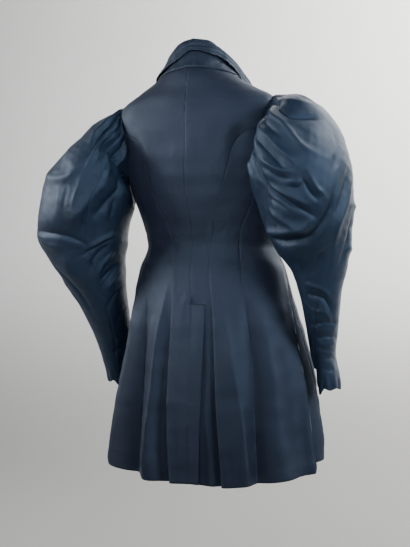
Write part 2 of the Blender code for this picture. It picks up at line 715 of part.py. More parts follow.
def button(name, z):
    """A cloth-covered button: a low dome standing on the right front at the centre front."""
    turn = float(TURN_AT(z))
    at = place_on_body("right", np.array([[180.0, z]]), np.array([LAP_LIFT + CLOTH / 2]))[0]
    normal = outward(np.array(180.0 + turn), np.array(z))
    # The cloth round it curves up to its rim, so its foot stands clear of the highest place.
    rim = place_on_body(
        "right",
        np.array([[180.0 + a, z + h] for a in (-4.5, 0.0, 4.5) for h in (-BUTTON_RADIUS, 0.0, BUTTON_RADIUS)]),
        np.array([LAP_LIFT + CLOTH / 2] * 9),
    )
    at = at + (max(0.0, float(((rim - at) @ normal).max())) + 0.0006) * normal
    work = bmesh.new()
    bmesh.ops.create_uvsphere(work, u_segments=16, v_segments=8, radius=BUTTON_RADIUS)
    bmesh.ops.bisect_plane(
        work,
        geom=work.verts[:] + work.edges[:] + work.faces[:],
        plane_co=(0, 0, 0),
        plane_no=(0, 0, 1),
        clear_inner=True,
    )
    rim = [edge for edge in work.edges if edge.is_boundary]
    bmesh.ops.contextual_create(work, geom=rim)
    for v in work.verts:
        v.co.z = v.co.z * BUTTON_HEIGHT / BUTTON_RADIUS
    bmesh.ops.recalc_face_normals(work, faces=work.faces[:])
    mesh = bpy.data.meshes.new(name)
    work.to_mesh(mesh)
    work.free()
    mesh.shade_smooth()
    mesh.set_sharp_from_angle(angle=math.radians(50))
    made = bpy.data.objects.new(name, mesh)
    JACKET.objects.link(made)
    made.data.materials.append(material(name, (0.020, 0.024, 0.032), 0.55))
    made.location = at
    made.rotation_mode = "QUATERNION"
    made.rotation_quaternion = mathutils.Vector((0, 0, 1)).rotation_difference(mathutils.Vector(normal))
    return made


for old in list(bpy.data.objects):
    bpy.data.objects.remove(old, do_unlink=True)
JACKET = new_collection("long_jacket")

for side in ("left", "right"):
    grid, flap = back(side)
    cloth("back_" + side, grid, flap, (0.020, 0.025, 0.034))
    cloth("side_back_" + side, side_back(side), None, (0.022, 0.027, 0.036))
    cloth("underarm_" + side, underarm(side), None, (0.019, 0.024, 0.032))
    cloth("front_" + side, front(side), None, (0.018, 0.022, 0.030))
    cloth("sleeve_top_" + side, sleeve_piece(side, TOP_ANGLES), None, (0.022, 0.026, 0.034))
    cloth("sleeve_under_" + side, sleeve_piece(side, UNDER_ANGLES), None, (0.018, 0.022, 0.029))
    cloth("lapel_" + side, lapel(side), None, (0.021, 0.025, 0.034))
cloth("collar_stand", collar_stand(), None, (0.021, 0.026, 0.036))
cloth("collar_fall", collar_fall(), None, (0.018, 0.023, 0.033))
for count, height in enumerate(BUTTON_Z, 1):
    button("button_%d" % count, height)
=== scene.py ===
"""Looks of a long jacket with leg-of-mutton sleeves, a high turned collar and a pleated skirt.

Metres, +Z up, the front faces -Y. Every cloth piece is a thin shell on the form of
its solid, at a finer spacing, with its gathers, creases and seams placed on it.
"""

import math

import bmesh
import bpy
import mathutils
import numpy as np
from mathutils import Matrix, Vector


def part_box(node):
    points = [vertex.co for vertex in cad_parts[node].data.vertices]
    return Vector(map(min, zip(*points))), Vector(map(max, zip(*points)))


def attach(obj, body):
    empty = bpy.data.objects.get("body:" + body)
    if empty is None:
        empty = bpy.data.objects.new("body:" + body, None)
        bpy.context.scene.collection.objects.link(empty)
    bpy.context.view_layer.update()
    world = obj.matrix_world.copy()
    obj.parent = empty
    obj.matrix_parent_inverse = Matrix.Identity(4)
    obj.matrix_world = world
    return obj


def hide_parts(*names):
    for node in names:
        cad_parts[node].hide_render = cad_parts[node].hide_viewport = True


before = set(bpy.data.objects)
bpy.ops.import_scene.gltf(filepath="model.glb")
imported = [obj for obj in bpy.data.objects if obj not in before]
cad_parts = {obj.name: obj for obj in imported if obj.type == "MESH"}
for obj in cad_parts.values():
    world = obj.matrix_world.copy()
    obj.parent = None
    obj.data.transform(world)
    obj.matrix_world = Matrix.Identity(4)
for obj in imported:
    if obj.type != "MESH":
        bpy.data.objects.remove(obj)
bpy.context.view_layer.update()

# ------------------------------------------------------------ named sizes
CLOTH = 0.0020  # wall of every piece
SEAM_GAP = 0.00022  # each side of a seam
RIDGE_GAP = 0.0009  # each side of the shoulder seam, which runs along a ridge
FOLD_GAP = 0.0009  # added each side of a skirt seam that the folds bend sharply
BUTT = 0.0018  # a piece that leaves another at an angle starts this far from its edge
SLEEVE_OFF = 0.0024  # the sleeve's first ring stands this far off the body
LAP_LIFT = 0.0016  # half the distance between two lapped layers, middle to middle
LAPEL_LIFT = 0.0040  # lapel above the front it lies on
FRONT_LAP = 0.015  # each front passes the centre front by this much
BREAK_Z = -0.208  # where the lapels stop turning back
WAIST_Z = -0.356
HEM_Z = -0.838
VENT_TOP = -0.470
VENT_WIDTH_TOP, VENT_WIDTH_HEM = 0.030, 0.020
ARM_TOP, ARM_LOW = -0.052, -0.216
ARM_BACK, ARM_FRONT = 0.050, 0.056
SLEEVE_CLEAR = 0.008
BUTTON_RADIUS, BUTTON_HEIGHT = 0.0085, 0.0055
BUTTON_Z = (-0.228, -0.272, -0.316, -0.360)
SEAM1_ANGLE, SEAM2_ANGLE, SEAM3_ANGLE = 78.0, 120.0, 192.0  # where seams meet the armhole
SLEEVE_BACK_SEAM, SLEEVE_FRONT_SEAM = 120.0, 230.0
CUFF_SLIT = 0.90  # station where the back seam of the sleeve opens

# ------------------------------------------------------------ tables
# One row a level: height, half width, back and front of the body,
# sideways shift, squareness of the outline.
LEVELS = [
    (0.030, 0.0600, 0.0560, -0.0300, 0.000, 2.0),
    (0.012, 0.0720, 0.0600, -0.0400, 0.000, 2.0),
    (0.000, 0.0830, 0.0650, -0.0440, 0.000, 2.0),
    (-0.012, 0.0970, 0.0680, -0.0470, 0.000, 2.0),
    (-0.032, 0.1300, 0.0715, -0.0520, 0.000, 2.0),
    (-0.048, 0.1600, 0.0745, -0.0590, 0.000, 2.05),
    (-0.062, 0.1740, 0.0770, -0.0680, 0.000, 2.15),
    (-0.090, 0.1820, 0.0800, -0.0900, 0.000, 2.3),
    (-0.130, 0.1820, 0.0800, -0.1250, 0.000, 2.35),
    (-0.170, 0.1770, 0.0760, -0.1480, 0.000, 2.35),
    (-0.210, 0.1720, 0.0690, -0.1600, 0.000, 2.3),
    (-0.260, 0.1640, 0.0560, -0.1600, -0.003, 2.2),
    (-0.295, 0.1540, 0.0450, -0.1540, -0.005, 2.15),
    (-0.327, 0.1470, 0.0370, -0.1480, -0.007, 2.1),
    (-0.352, 0.1440, 0.0330, -0.1460, -0.008, 2.1),
    (-0.372, 0.1500, 0.0350, -0.1490, -0.009, 2.1),
    (-0.395, 0.1620, 0.0410, -0.1540, -0.009, 2.1),
    (-0.425, 0.1700, 0.0480, -0.1620, -0.009, 2.1),
    (-0.460, 0.1765, 0.0550, -0.1720, -0.009, 2.1),
    (-0.530, 0.1910, 0.0650, -0.1900, -0.009, 2.1),
    (-0.620, 0.2085, 0.0740, -0.2090, -0.009, 2.1),
    (-0.720, 0.2240, 0.0800, -0.2290, -0.006, 2.1),
    (-0.830, 0.2370, 0.0840, -0.2470, -0.003, 2.1),
    (-0.850, 0.2395, 0.0845, -0.2500, -0.002, 2.1),
]

# The jacket sits a little turned: height, angle of the centre back seam.
TURN = [
    (0.02, 0.0),
    (-0.12, 0.0),
    (-0.235, 4.0),
    (-0.374, 6.5),
    (-0.50, 1.5),
    (-0.67, 0.0),
    (-0.85, -3.0),
]

# Angle of each long seam from the centre back, by height below the armhole.
# The skirt hangs a little askew, so the side back seams differ on the two sides.
SIDE_BACK_SEAM = {
    "left": [
        (-0.128, 56.0),
        (-0.154, 46.0),
        (-0.200, 40.5),
        (-0.250, 36.5),
        (-0.306, 30.0),
        (-0.378, 23.5),
        (-0.430, 21.5),
        (-0.500, 19.6),
        (-0.620, 18.6),
        (-0.740, 16.4),
        (-0.850, 13.2),
    ],
    "right": [
        (-0.128, 56.0),
        (-0.154, 46.0),
        (-0.200, 40.5),
        (-0.250, 36.5),
        (-0.306, 30.0),
        (-0.378, 24.0),
        (-0.430, 22.6),
        (-0.500, 22.0),
        (-0.620, 22.3),
        (-0.740, 23.0),
        (-0.850, 23.6),
    ],
}
UNDERARM_BACK_SEAM = [
    (-0.250, 63.0),
    (-0.325, 57.0),
    (-0.378, 55.5),
    (-0.430, 52.0),
    (-0.500, 50.0),
    (-0.670, 47.5),
    (-0.850, 44.0),
]
UNDERARM_FRONT_SEAM = [
    (-0.300, 90.0),
    (-0.360, 94.0),
    (-0.500, 96.0),
    (-0.850, 97.0),
]

# Neckline and hem: angle from the centre back, height.
NECKLINE = [
    (0.0, 0.010),
    (30.0, 0.008),
    (60.0, 0.003),
    (90.0, -0.004),
    (105.0, -0.015),
    (118.0, -0.030),
]
HEM = [
    (0.0, -0.836),
    (20.0, -0.838),
    (45.0, -0.833),
    (75.0, -0.821),
    (100.0, -0.812),
    (195.0, -0.806),
]
# Roll line of the lapel down the front: angle, height.
ROLL_FRONT = [(118.0, -0.030), (124.0, -0.062), (150.0, -0.125), (170.0, -0.178)]
# Outer edge of the lapel: angle, height.
LAPEL_EDGE = [(107.0, -0.082), (118.0, -0.128), (142.0, -0.174), (165.0, -0.194)]

# Folds of the skirt, for each side: angle at the top, angle at the hem,
# half width in degrees, height of the fold at the hem, where it starts.
FOLDS = {
    "left": [
        (31.0, 31.0, 6.0, 0.009, -0.42),
        (51.0, 45.0, 6.5, -0.014, -0.42),
        (64.0, 62.0, 8.0, 0.010, -0.40),
        (82.0, 82.0, 7.0, -0.012, -0.42),
        (98.0, 98.0, 7.0, 0.009, -0.42),
        (118.0, 118.0, 8.0, -0.012, -0.42),
        (136.0, 137.0, 8.0, 0.009, -0.40),
        (156.0, 158.0, 8.0, -0.008, -0.42),
    ],
    "right": [
        (32.0, 34.0, 8.0, 0.008, -0.40),
        (52.0, 44.0, 5.0, -0.010, -0.42),
        (64.0, 60.0, 9.0, 0.007, -0.40),
        (78.0, 75.0, 4.5, 0.011, -0.40),
        (90.0, 85.0, 5.5, -0.020, -0.38),
        (102.0, 98.0, 7.0, 0.010, -0.40),
        (121.0, 118.0, 8.0, -0.011, -0.42),
        (138.0, 138.0, 8.0, 0.009, -0.42),
        (157.0, 158.0, 8.0, -0.007, -0.42),
    ],
}
# The pleat at each side back seam: how far the back's edge stands out or sinks,
# how far the side back's edge does, and how far it still does a little further on.
# On the left the back lies over the pleat, on the right the side back does.
PLEATS = {"left": (0.004, -0.010, -0.006), "right": (-0.009, 0.007, 0.003)}
PLEAT_START = -0.372

# Sleeves: station, distance out, distance back, height, tilt of the ring in
# degrees, half size outwards, half size front to back, and how far the ring's
# back part falls in over the back of the jacket.
SLEEVES = {
    "right": [
        (0.00, 0.170, -0.004, -0.134, 84, 0.081, 0.053, 0.000),
        (0.06, 0.190, 0.012, -0.128, 72, 0.078, 0.080, 0.020),
        (0.14, 0.203, 0.032, -0.141, 57, 0.084, 0.102, 0.034),
        (0.24, 0.219, 0.040, -0.168, 32, 0.093, 0.114, 0.024),
        (0.34, 0.230, 0.042, -0.216, 12, 0.098, 0.117, 0.004),
        (0.44, 0.2385, 0.038, -0.268, 4, 0.093, 0.110, 0.000),
        (0.53, 0.242, 0.028, -0.318, 0, 0.086, 0.098, 0.000),
        (0.60, 0.247, 0.016, -0.360, 0, 0.074, 0.080, 0.000),
        (0.68, 0.260, 0.000, -0.415, 0, 0.052, 0.056, 0.000),
        (0.78, 0.263, -0.015, -0.480, 0, 0.041, 0.046, 0.000),
        (0.90, 0.262, -0.040, -0.565, 0, 0.030, 0.040, 0.000),
        (1.00, 0.268, -0.060, -0.648, 0, 0.021, 0.036, 0.000),
    ],
    "left": [
        (0.00, 0.170, -0.004, -0.134, 84, 0.081, 0.053, 0.000),
        (0.06, 0.187, 0.004, -0.138, 70, 0.072, 0.072, 0.004),
        (0.14, 0.204, 0.010, -0.155, 50, 0.070, 0.088, 0.008),
        (0.24, 0.226, 0.014, -0.190, 27, 0.086, 0.100, 0.006),
        (0.30, 0.240, 0.014, -0.214, 18, 0.097, 0.103, 0.004),
        (0.38, 0.256, 0.012, -0.250, 10, 0.102, 0.104, 0.000),
        (0.50, 0.277, 0.002, -0.332, 3, 0.102, 0.094, 0.000),
        (0.57, 0.270, -0.008, -0.378, -3, 0.085, 0.083, 0.000),
        (0.64, 0.258, -0.020, -0.420, -7, 0.068, 0.071, 0.000),
        (0.75, 0.246, -0.045, -0.484, -10, 0.052, 0.056, 0.000),
        (0.88, 0.238, -0.080, -0.574, -10, 0.036, 0.043, 0.000),
        (1.00, 0.238, -0.105, -0.660, -6, 0.021, 0.037, 0.000),
    ],
}

# Collar, a row for each section from the centre back to the front:
# angle of its foot on the neckline, the roll line's x, y, z on the left half,
# then the fall's edge x, y, z on the right half and on the left half.
COLLAR = [
    (0.0, 0.000, 0.030, 0.076, 0.000, 0.050, 0.051, 0.000, 0.050, 0.051),
    (30.0, 0.030, 0.024, 0.070, 0.034, 0.047, 0.045, 0.030, 0.056, 0.035),
    (55.0, 0.052, 0.008, 0.053, 0.062, 0.030, 0.034, 0.060, 0.046, 0.017),
    (78.0, 0.069, -0.012, 0.030, 0.084, 0.010, 0.018, 0.087, 0.026, 0.002),
    (98.0, 0.087, -0.034, 0.004, 0.106, -0.010, -0.004, 0.106, -0.004, -0.008),
    (118.0, 0.100, -0.055, -0.022, 0.128, -0.034, -0.030, 0.126, -0.034, -0.030),
]

# Rows of the body pieces below the armhole, and points round the armhole.
ROWS = (
    -0.117, -0.126, -0.142, -0.168, -0.200, -0.234, -0.268, -0.300, -0.330,
    -0.356, -0.380, -0.406, -0.440, -0.490, -0.560, -0.650, -0.745, -0.838,
)  # fmt: skip
BACK_ARC = (0, 16, 32, 48, 64, 78)
SIDE_BACK_ARC = (78, 92, 106, 120)
UNDERARM_ARC = (120, 138, 156, 174, 192)
FRONT_ARC = (192, 211, 230, 246, 262, 278, 294, 310, 326, 343, 360)
RINGS = (0, 0.03, 0.06, 0.10, 0.15, 0.21, 0.28, 0.36, 0.44, 0.52, 0.60, 0.68, 0.76, 0.84, 0.92, 1.0)


# ------------------------------------------------------------ smooth tables
class Smooth:
    """A smooth curve through rows, which never overshoots them."""

    def __init__(self, pairs):
        pairs = sorted(pairs)
        x = np.array([p[0] for p in pairs], float)
        y = np.array([p[1] for p in pairs], float)
        step = np.diff(y) / np.diff(x)
        slope = np.zeros(len(x))
        slope[0], slope[-1] = step[0], step[-1]
        for i in range(1, len(x) - 1):
            if step[i - 1] * step[i] > 0:
                before, after = x[i] - x[i - 1], x[i + 1] - x[i]
                w1, w2 = 2 * after + before, after + 2 * before
                slope[i] = (w1 + w2) / (w1 / step[i - 1] + w2 / step[i])
        self.x, self.y, self.slope = x, y, slope

    def __call__(self, at):
        at = np.clip(np.asarray(at, float), self.x[0], self.x[-1])
        i = np.clip(np.searchsorted(self.x, at) - 1, 0, len(self.x) - 2)
        h = self.x[i + 1] - self.x[i]
        t = (at - self.x[i]) / h
        return (
            (2 * t**3 - 3 * t**2 + 1) * self.y[i]
            + (t**3 - 2 * t**2 + t) * h * self.slope[i]
            + (3 * t**2 - 2 * t**3) * self.y[i + 1]
            + (t**3 - t**2) * h * self.slope[i + 1]
        )


def columns(rows, of):
    return Smooth([(row[0], row[of]) for row in rows])


HALF, BACK, FRONT, SHIFT, SQUARE = (columns(LEVELS, i) for i in range(1, 6))
TURN_AT = Smooth(TURN)
NECK_AT = Smooth(NECKLINE)
HEM_AT = Smooth(HEM)
SLEEVE_AT = {side: [columns(rows, i) for i in range(1, 8)] for side, rows in SLEEVES.items()}


def ease(t):
    t = np.clip(t, 0, 1)
    return t * t * (3 - 2 * t)


# ------------------------------------------------------------ the body
def body(phi, z):
    """phi counted from the middle of the back, positive to the wearer's left."""
    phi, z = np.radians(np.asarray(phi, float)), np.asarray(z, float)
    depth, middle = (BACK(z) - FRONT(z)) / 2, (BACK(z) + FRONT(z)) / 2
    n = SQUARE(z)
    r = (np.abs(np.sin(phi) / HALF(z)) ** n + np.abs(np.cos(phi) / depth) ** n) ** (-1 / n)
    return np.stack([SHIFT(z) + r * np.sin(phi), middle + r * np.cos(phi), z + 0 * r], -1)


def outward(phi, z):
    """The body's normal, pointing out of it."""
    along = body(phi + 0.5, z) - body(phi - 0.5, z)
    up = body(phi, z + 0.002) - body(phi, z - 0.002)
    n = np.cross(up, along)
    return n / np.linalg.norm(n, axis=-1, keepdims=True)


def grow(z, start):
    return ease((start - z) / (start - HEM_Z)) ** 0.8


def relief(side, phi, z):
    """How far the skirt's folds stand out. phi is counted from the centre back seam."""
    out = 0 * phi * z
    for top, low, wide, high, start in FOLDS[side]:
        down = np.clip((start - z) / (start - HEM_Z), 0, 1)
        middle = top + (low - top) * down
        out = out + high * grow(z, start) * np.exp(-(((phi - middle) / wide) ** 2))
    return out


def armhole(alpha, side):
    """alpha: 0 at the shoulder tip, rising down the back to 180 under the arm and up the front."""
    a = np.radians(np.asarray(alpha, float))
    z = ARM_TOP - (ARM_TOP - ARM_LOW) * (1 - np.cos(a)) / 2
    reach = np.where(np.sin(a) > 0, ARM_BACK, ARM_FRONT)
    y = 0.006 - 0.022 * (ARM_TOP - z) / (ARM_TOP - ARM_LOW) + reach * np.sin(a)
    depth, middle = (BACK(z) - FRONT(z)) / 2, (BACK(z) + FRONT(z)) / 2
    n = SQUARE(z)
    x = HALF(z) * np.maximum(1 - np.abs((y - middle) / depth) ** n, 1e-6) ** (1 / n)
    return np.stack([side * x, y, z], -1)


def armhole_place(alpha):
    """The same place as an angle and a height on the left half."""
    p = armhole(alpha, 1.0)
    z = p[..., 2]
    middle = (BACK(z) + FRONT(z)) / 2
    return np.degrees(np.arctan2(p[..., 0] - SHIFT(z), p[..., 1] - middle)), z


def seam(table, angle):
    """A long seam from the armhole to the hem: its angle and height at each row."""
    start_phi, start_z = armhole_place(float(angle))
    pairs = [(float(start_z), float(start_phi))] + [(z, phi) for z, phi in table]
    line = Smooth(pairs)
    rows = np.array(ROWS)
    move = (start_z - rows[0]) * np.clip(1 - (rows[0] - rows) / 0.16, 0, 1)
    z = rows + move
    below = np.clip((WAIST_Z - z) / (WAIST_Z - HEM_Z), 0, 1)
    z = z + (HEM_AT(line(HEM_Z)) - HEM_Z) * below
    return np.stack([line(z), z], -1)


def centre_line(shoulder, arm):
    """Heights down the centre beside the shoulder rows, the armhole rows and the rows below."""
    top = np.linspace(NECKLINE[0][1], -0.050, shoulder + 1)
    mid = np.linspace(-0.050, ROWS[0], arm + 1)[1:]
    z = np.concatenate([top, mid, ROWS[1:]])
    below = np.clip((WAIST_Z - z) / (WAIST_Z - HEM_Z), 0, 1)
    return z + (HEM[0][1] - HEM_Z) * below


def arc(angles):
    phi, z = armhole_place(np.array(angles, float))
    return np.stack([phi, z], -1)


SHOULDER_ROWS = 4
NECK_POINT = np.array([90.0, NECK_AT(90.0)])
SHOULDER = NECK_POINT + (arc((0,))[0] - NECK_POINT) * np.linspace(0, 1, SHOULDER_ROWS + 1)[:, None]


def coons(left, right, top, bottom, across, down):
    """A four-sided patch of places. left and right have the same rows; across lists the columns, down the rows' shares."""
    u = np.array(across)[None, :, None]
    v = np.array(down)[:, None, None]
    top, bottom = top(np.array(across)), bottom(np.array(across))
    sides = (1 - u) * left[:, None] + u * right[:, None]
    ends = (1 - v) * top[None] + v * bottom[None]
    corners = (1 - v) * ((1 - u) * left[0] + u * right[0]) + v * ((1 - u) * left[-1] + u * right[-1])
    return sides + ends - corners


def hem_between(a, b):
    def line(u):
        phi = a[0] + (b[0] - a[0]) * u
        straight = a[1] + (b[1] - a[1]) * u
        bend = HEM_AT(phi) - (HEM_AT(a[0]) + (HEM_AT(b[0]) - HEM_AT(a[0])) * u)
        return np.stack([phi, straight + bend], -1)

    return line


def through(points):
    """A smooth line through places, spread evenly by their angle."""
    points = np.array(points, float)
    t = np.linspace(0, 1, len(points))
    lines = [Smooth(list(zip(t, points[:, i]))) for i in range(2)]
    return lambda u: np.stack([lines[0](u), lines[1](u)], -1)


def neck_between(a, b):
    def line(u):
        phi = a + (b - a) * u
        return np.stack([phi, NECK_AT(phi)], -1)

    return line


def lap(z):
    """The lap past the centre front, in degrees."""
    front = body(180.0, z)
    return np.degrees(FRONT_LAP / np.abs(front[..., 1] - (BACK(z) + FRONT(z)) / 2))



def place_on_body(side, places, lift=0.0, pleat=None):
    """Places on one half, as points: with the skirt's folds, the turn, and any lift off the cloth."""
    phi, z = places[..., 0], places[..., 1]
    sign = 1.0 if side == "left" else -1.0
    turned = sign * phi + TURN_AT(z)
    points = body(turned, z)
    normal = outward(turned, z)
    out = relief(side, phi, z)
    if pleat is not None:
        out = out + pleat
    level = normal.copy()
    level[..., 2] = 0
    level /= np.linalg.norm(level, axis=-1, keepdims=True)
    return points + out[..., None] * level + np.asarray(lift)[..., None] * normal



def pleat_of_back(side, phi, z, seam_phi):
    near = ease(1 - (seam_phi - phi) / 9.0)
    return PLEATS[side][0] * grow(z, PLEAT_START) * near



# ------------------------------------------------------------ the sleeves
def sleeve(side, psi, s):
    sign = 1.0 if side == "left" else -1.0
    psi, s = np.broadcast_arrays(np.asarray(psi, float), np.asarray(s, float))
    out, fore, high, tilt, half_out, half_fore, lean = (line(s) for line in SLEEVE_AT[side])
    p, t = np.radians(psi), np.radians(tilt)
    e = half_out * np.cos(p)
    out = out - lean * np.maximum(np.sin(p), 0) ** 2
    points = np.stack([sign * (out + e * np.cos(t)), fore + half_fore * np.sin(p), high + e * np.sin(t)], -1)
    near = ease(1 - s / 0.10)[..., None]
    points = points * (1 - near) + armhole(psi, sign) * near
    # The sleeve stays outside the body.
    z = points[..., 2]
    depth, middle = (BACK(z) - FRONT(z)) / 2, (BACK(z) + FRONT(z)) / 2
    n = SQUARE(z)
    dx, dy = points[..., 0] - SHIFT(z), points[..., 1] - middle
    r = np.maximum(np.hypot(dx, dy), 1e-6)
    wall = (np.abs(dx / r / HALF(z)) ** n + np.abs(dy / r / depth) ** n) ** (-1 / n)
    clear = (SLEEVE_CLEAR + 0.012 * grow(z, -0.40)) * np.clip(s / 0.08, 0, 1)
    wide = np.where(r < wall + clear, (wall + clear) / r, 1.0)
    return np.stack([SHIFT(z) + dx * wide, middle + dy * wide, z], -1)


def collar_lines(count):
    """Foot, roll line and fall's edge, from the wearer's right round the back to the left."""
    t = np.linspace(0, 1, len(COLLAR))
    lines = [Smooth(list(zip(t, [row[i] for row in COLLAR]))) for i in range(10)]
    u = np.linspace(-1, 1, count)
    a, sign = np.abs(u), np.sign(u)
    foot_phi = lines[0](a)
    foot = body(sign * foot_phi, NECK_AT(foot_phi))
    foot = foot + 0.0014 * outward(sign * foot_phi, NECK_AT(foot_phi))
    roll = np.stack([sign * lines[1](a), lines[2](a), lines[3](a)], -1)
    right = np.stack([sign * lines[4](a), lines[5](a), lines[6](a)], -1)
    left = np.stack([sign * lines[7](a), lines[8](a), lines[9](a)], -1)
    mix = ease((u + 0.25) / 0.5)[:, None]
    return foot, roll, right * (1 - mix) + left * mix




# ------------------------------------------------------------ finer spacing
SHELL = 0.0017
ROW_STEPS = (2, 3, 5, 6, 7, 7, 6, 6, 5, 5, 5, 7, 10, 14, 18, 19, 19)
SHOULDER_STEPS, ARM_STEPS = 7, 5


def spread(values, counts):
    """Values filled in evenly, so many steps to each interval."""
    if isinstance(counts, int):
        counts = [counts] * (len(values) - 1)
    at = [0.0]
    for i, n in enumerate(counts):
        at += [i + (k + 1) / n for k in range(n)]
    return np.interp(at, np.arange(len(values)), np.array(values, float))


COARSE_ROWS = ROWS
ROWS = tuple(spread(COARSE_ROWS, ROW_STEPS))


def shares(shoulder, arm):
    """The share of the way down for every fine row."""
    counts = [SHOULDER_STEPS] * shoulder + [ARM_STEPS] * arm + list(ROW_STEPS)
    return spread(np.linspace(0, 1, len(counts) + 1), counts)


SEAM1 = {side: seam(SIDE_BACK_SEAM[side], SEAM1_ANGLE) for side in ("left", "right")}
SEAM2 = seam(UNDERARM_BACK_SEAM, SEAM2_ANGLE)
SEAM3 = seam(UNDERARM_FRONT_SEAM, SEAM3_ANGLE)
SHOULDER = NECK_POINT + (arc((0,))[0] - NECK_POINT) * np.linspace(0, 1, SHOULDER_ROWS * SHOULDER_STEPS + 1)[:, None]


def across(n):
    """Columns: close together beside the seams, even between."""
    return np.concatenate([[0, 0.008, 0.018, 0.032], np.linspace(0.055, 0.945, n), [0.968, 0.982, 0.992, 1]])


def ripple(points, size, seed):
    """A smooth uneven field, about -1 to 1, of humps that size."""
    pick = np.random.default_rng(seed)
    out = 0.0
    for _ in range(14):
        way = pick.normal(size=3)
        way *= 2 * math.pi / (size * pick.uniform(0.7, 1.8)) / np.linalg.norm(way)
        out = out + np.sin(points @ way + pick.uniform(0, 6.28))
    return out / 3.6


def normals_of(grid, away):
    """Unit normals of a grid, on the side that away points to."""
    n = np.cross(np.gradient(grid, axis=0), np.gradient(grid, axis=1))
    n /= np.maximum(np.linalg.norm(n, axis=-1, keepdims=True), 1e-12)
    return n * np.sign((n * away).sum(-1, keepdims=True) + 1e-9)


def smooth_line(points, count=48):
    points = np.array(points, float)
    steps = np.concatenate([[0], np.cumsum(np.linalg.norm(np.diff(points * (1.0, 260.0), axis=0), axis=1) + 1e-6)])
    t = np.linspace(0, steps[-1], count)
    if len(points) == 2:
        return np.stack([np.interp(t, steps, points[:, i]) for i in range(2)], -1)
    out = []
    for i in range(2):
        out.append(Smooth([(float(a), float(b)) for a, b in zip(steps, points[:, i])])(t))
    return np.stack(out, -1)


def creases(points, normal, rows, place):
    """How far the creases of a table lift each point. place turns a row's line into points and normals."""
    flat = points.reshape(-1, 3)
    total = np.zeros(len(flat))
    for depth, wide_a, wide_b, sharp, grow_by, start, end, line in rows:
        spots, up = place(smooth_line(line))
        step = np.gradient(spots, axis=0)
        length = np.linalg.norm(np.diff(spots, axis=0), axis=1)
        run = np.concatenate([[0], np.cumsum(length)])
        step /= np.maximum(np.linalg.norm(step, axis=-1, keepdims=True), 1e-9)
        side = np.cross(up, step)
        reach = 3.2 * max(wide_a, wide_b) * (1 + grow_by)
        low, high = spots.min(0) - reach, spots.max(0) + reach
        near = np.nonzero(((flat > low) & (flat < high)).all(1))[0]
        if not len(near):
            continue
        gap = flat[near, None, :] - spots[None]
        far = (gap**2).sum(-1)
        best = far.argmin(1)
        off = gap[np.arange(len(near)), best]
        t = run[best] / run[-1]
        over = (off * step[best]).sum(-1)
        t = np.clip(t + over / run[-1], -0.5, 1.5)
        d = (off * side[best]).sum(-1)
        wide = np.where(d < 0, wide_a, wide_b) * (1 + grow_by * np.clip(t, 0, 1))
        x = np.abs(d) / wide
        inside = np.clip((3.2 - x) / 1.0, 0, 1)
        height = np.exp(-(x**sharp)) * inside
        fade = ease((t + 0.04) / max(start, 0.01)) * ease((1.04 - t) / max(end, 0.01))
        gone = np.exp(-((np.minimum(t, 0) * run[-1] / 0.008) ** 2)) * np.exp(-((np.maximum(t - 1, 0) * run[-1] / 0.008) ** 2))
        sheer = np.abs((off * up[best]).sum(-1)) < 0.05
        np.add.at(total, near, depth * height * fade * gone * sheer)
    return total.reshape(points.shape[:-1])


# ------------------------------------------------------------ making the shells
COLLECTION = bpy.data.collections.new("long_jacket_looks")
bpy.context.scene.collection.children.link(COLLECTION)


def area_of(grid):
    a = np.cross(grid[1:, :-1] - grid[:-1, :-1], grid[:-1, 1:] - grid[:-1, :-1])
    b = np.cross(grid[1:, :-1] - grid[1:, 1:], grid[:-1, 1:] - grid[1:, 1:])
    return float((np.linalg.norm(a, axis=-1) + np.linalg.norm(b, axis=-1)).sum() / 2)


def flat_uv(grid):
    """Lengths along the cloth, in metres: across each row from its middle, and down the middle column."""
    mid = grid.shape[1] // 2
    wide = np.linalg.norm(np.diff(grid, axis=1), axis=-1)
    u = np.concatenate([np.zeros((len(grid), 1)), np.cumsum(wide, axis=1)], 1)
    u = u - u[:, mid : mid + 1]
    tall = np.linalg.norm(np.diff(grid, axis=0), axis=-1)
    v = np.concatenate([np.zeros((1, grid.shape[1])), np.cumsum(tall, axis=0)], 0)
    v = 0.5 * v + 0.5 * v[:, mid : mid + 1]
    return np.stack([u, -v], -1)


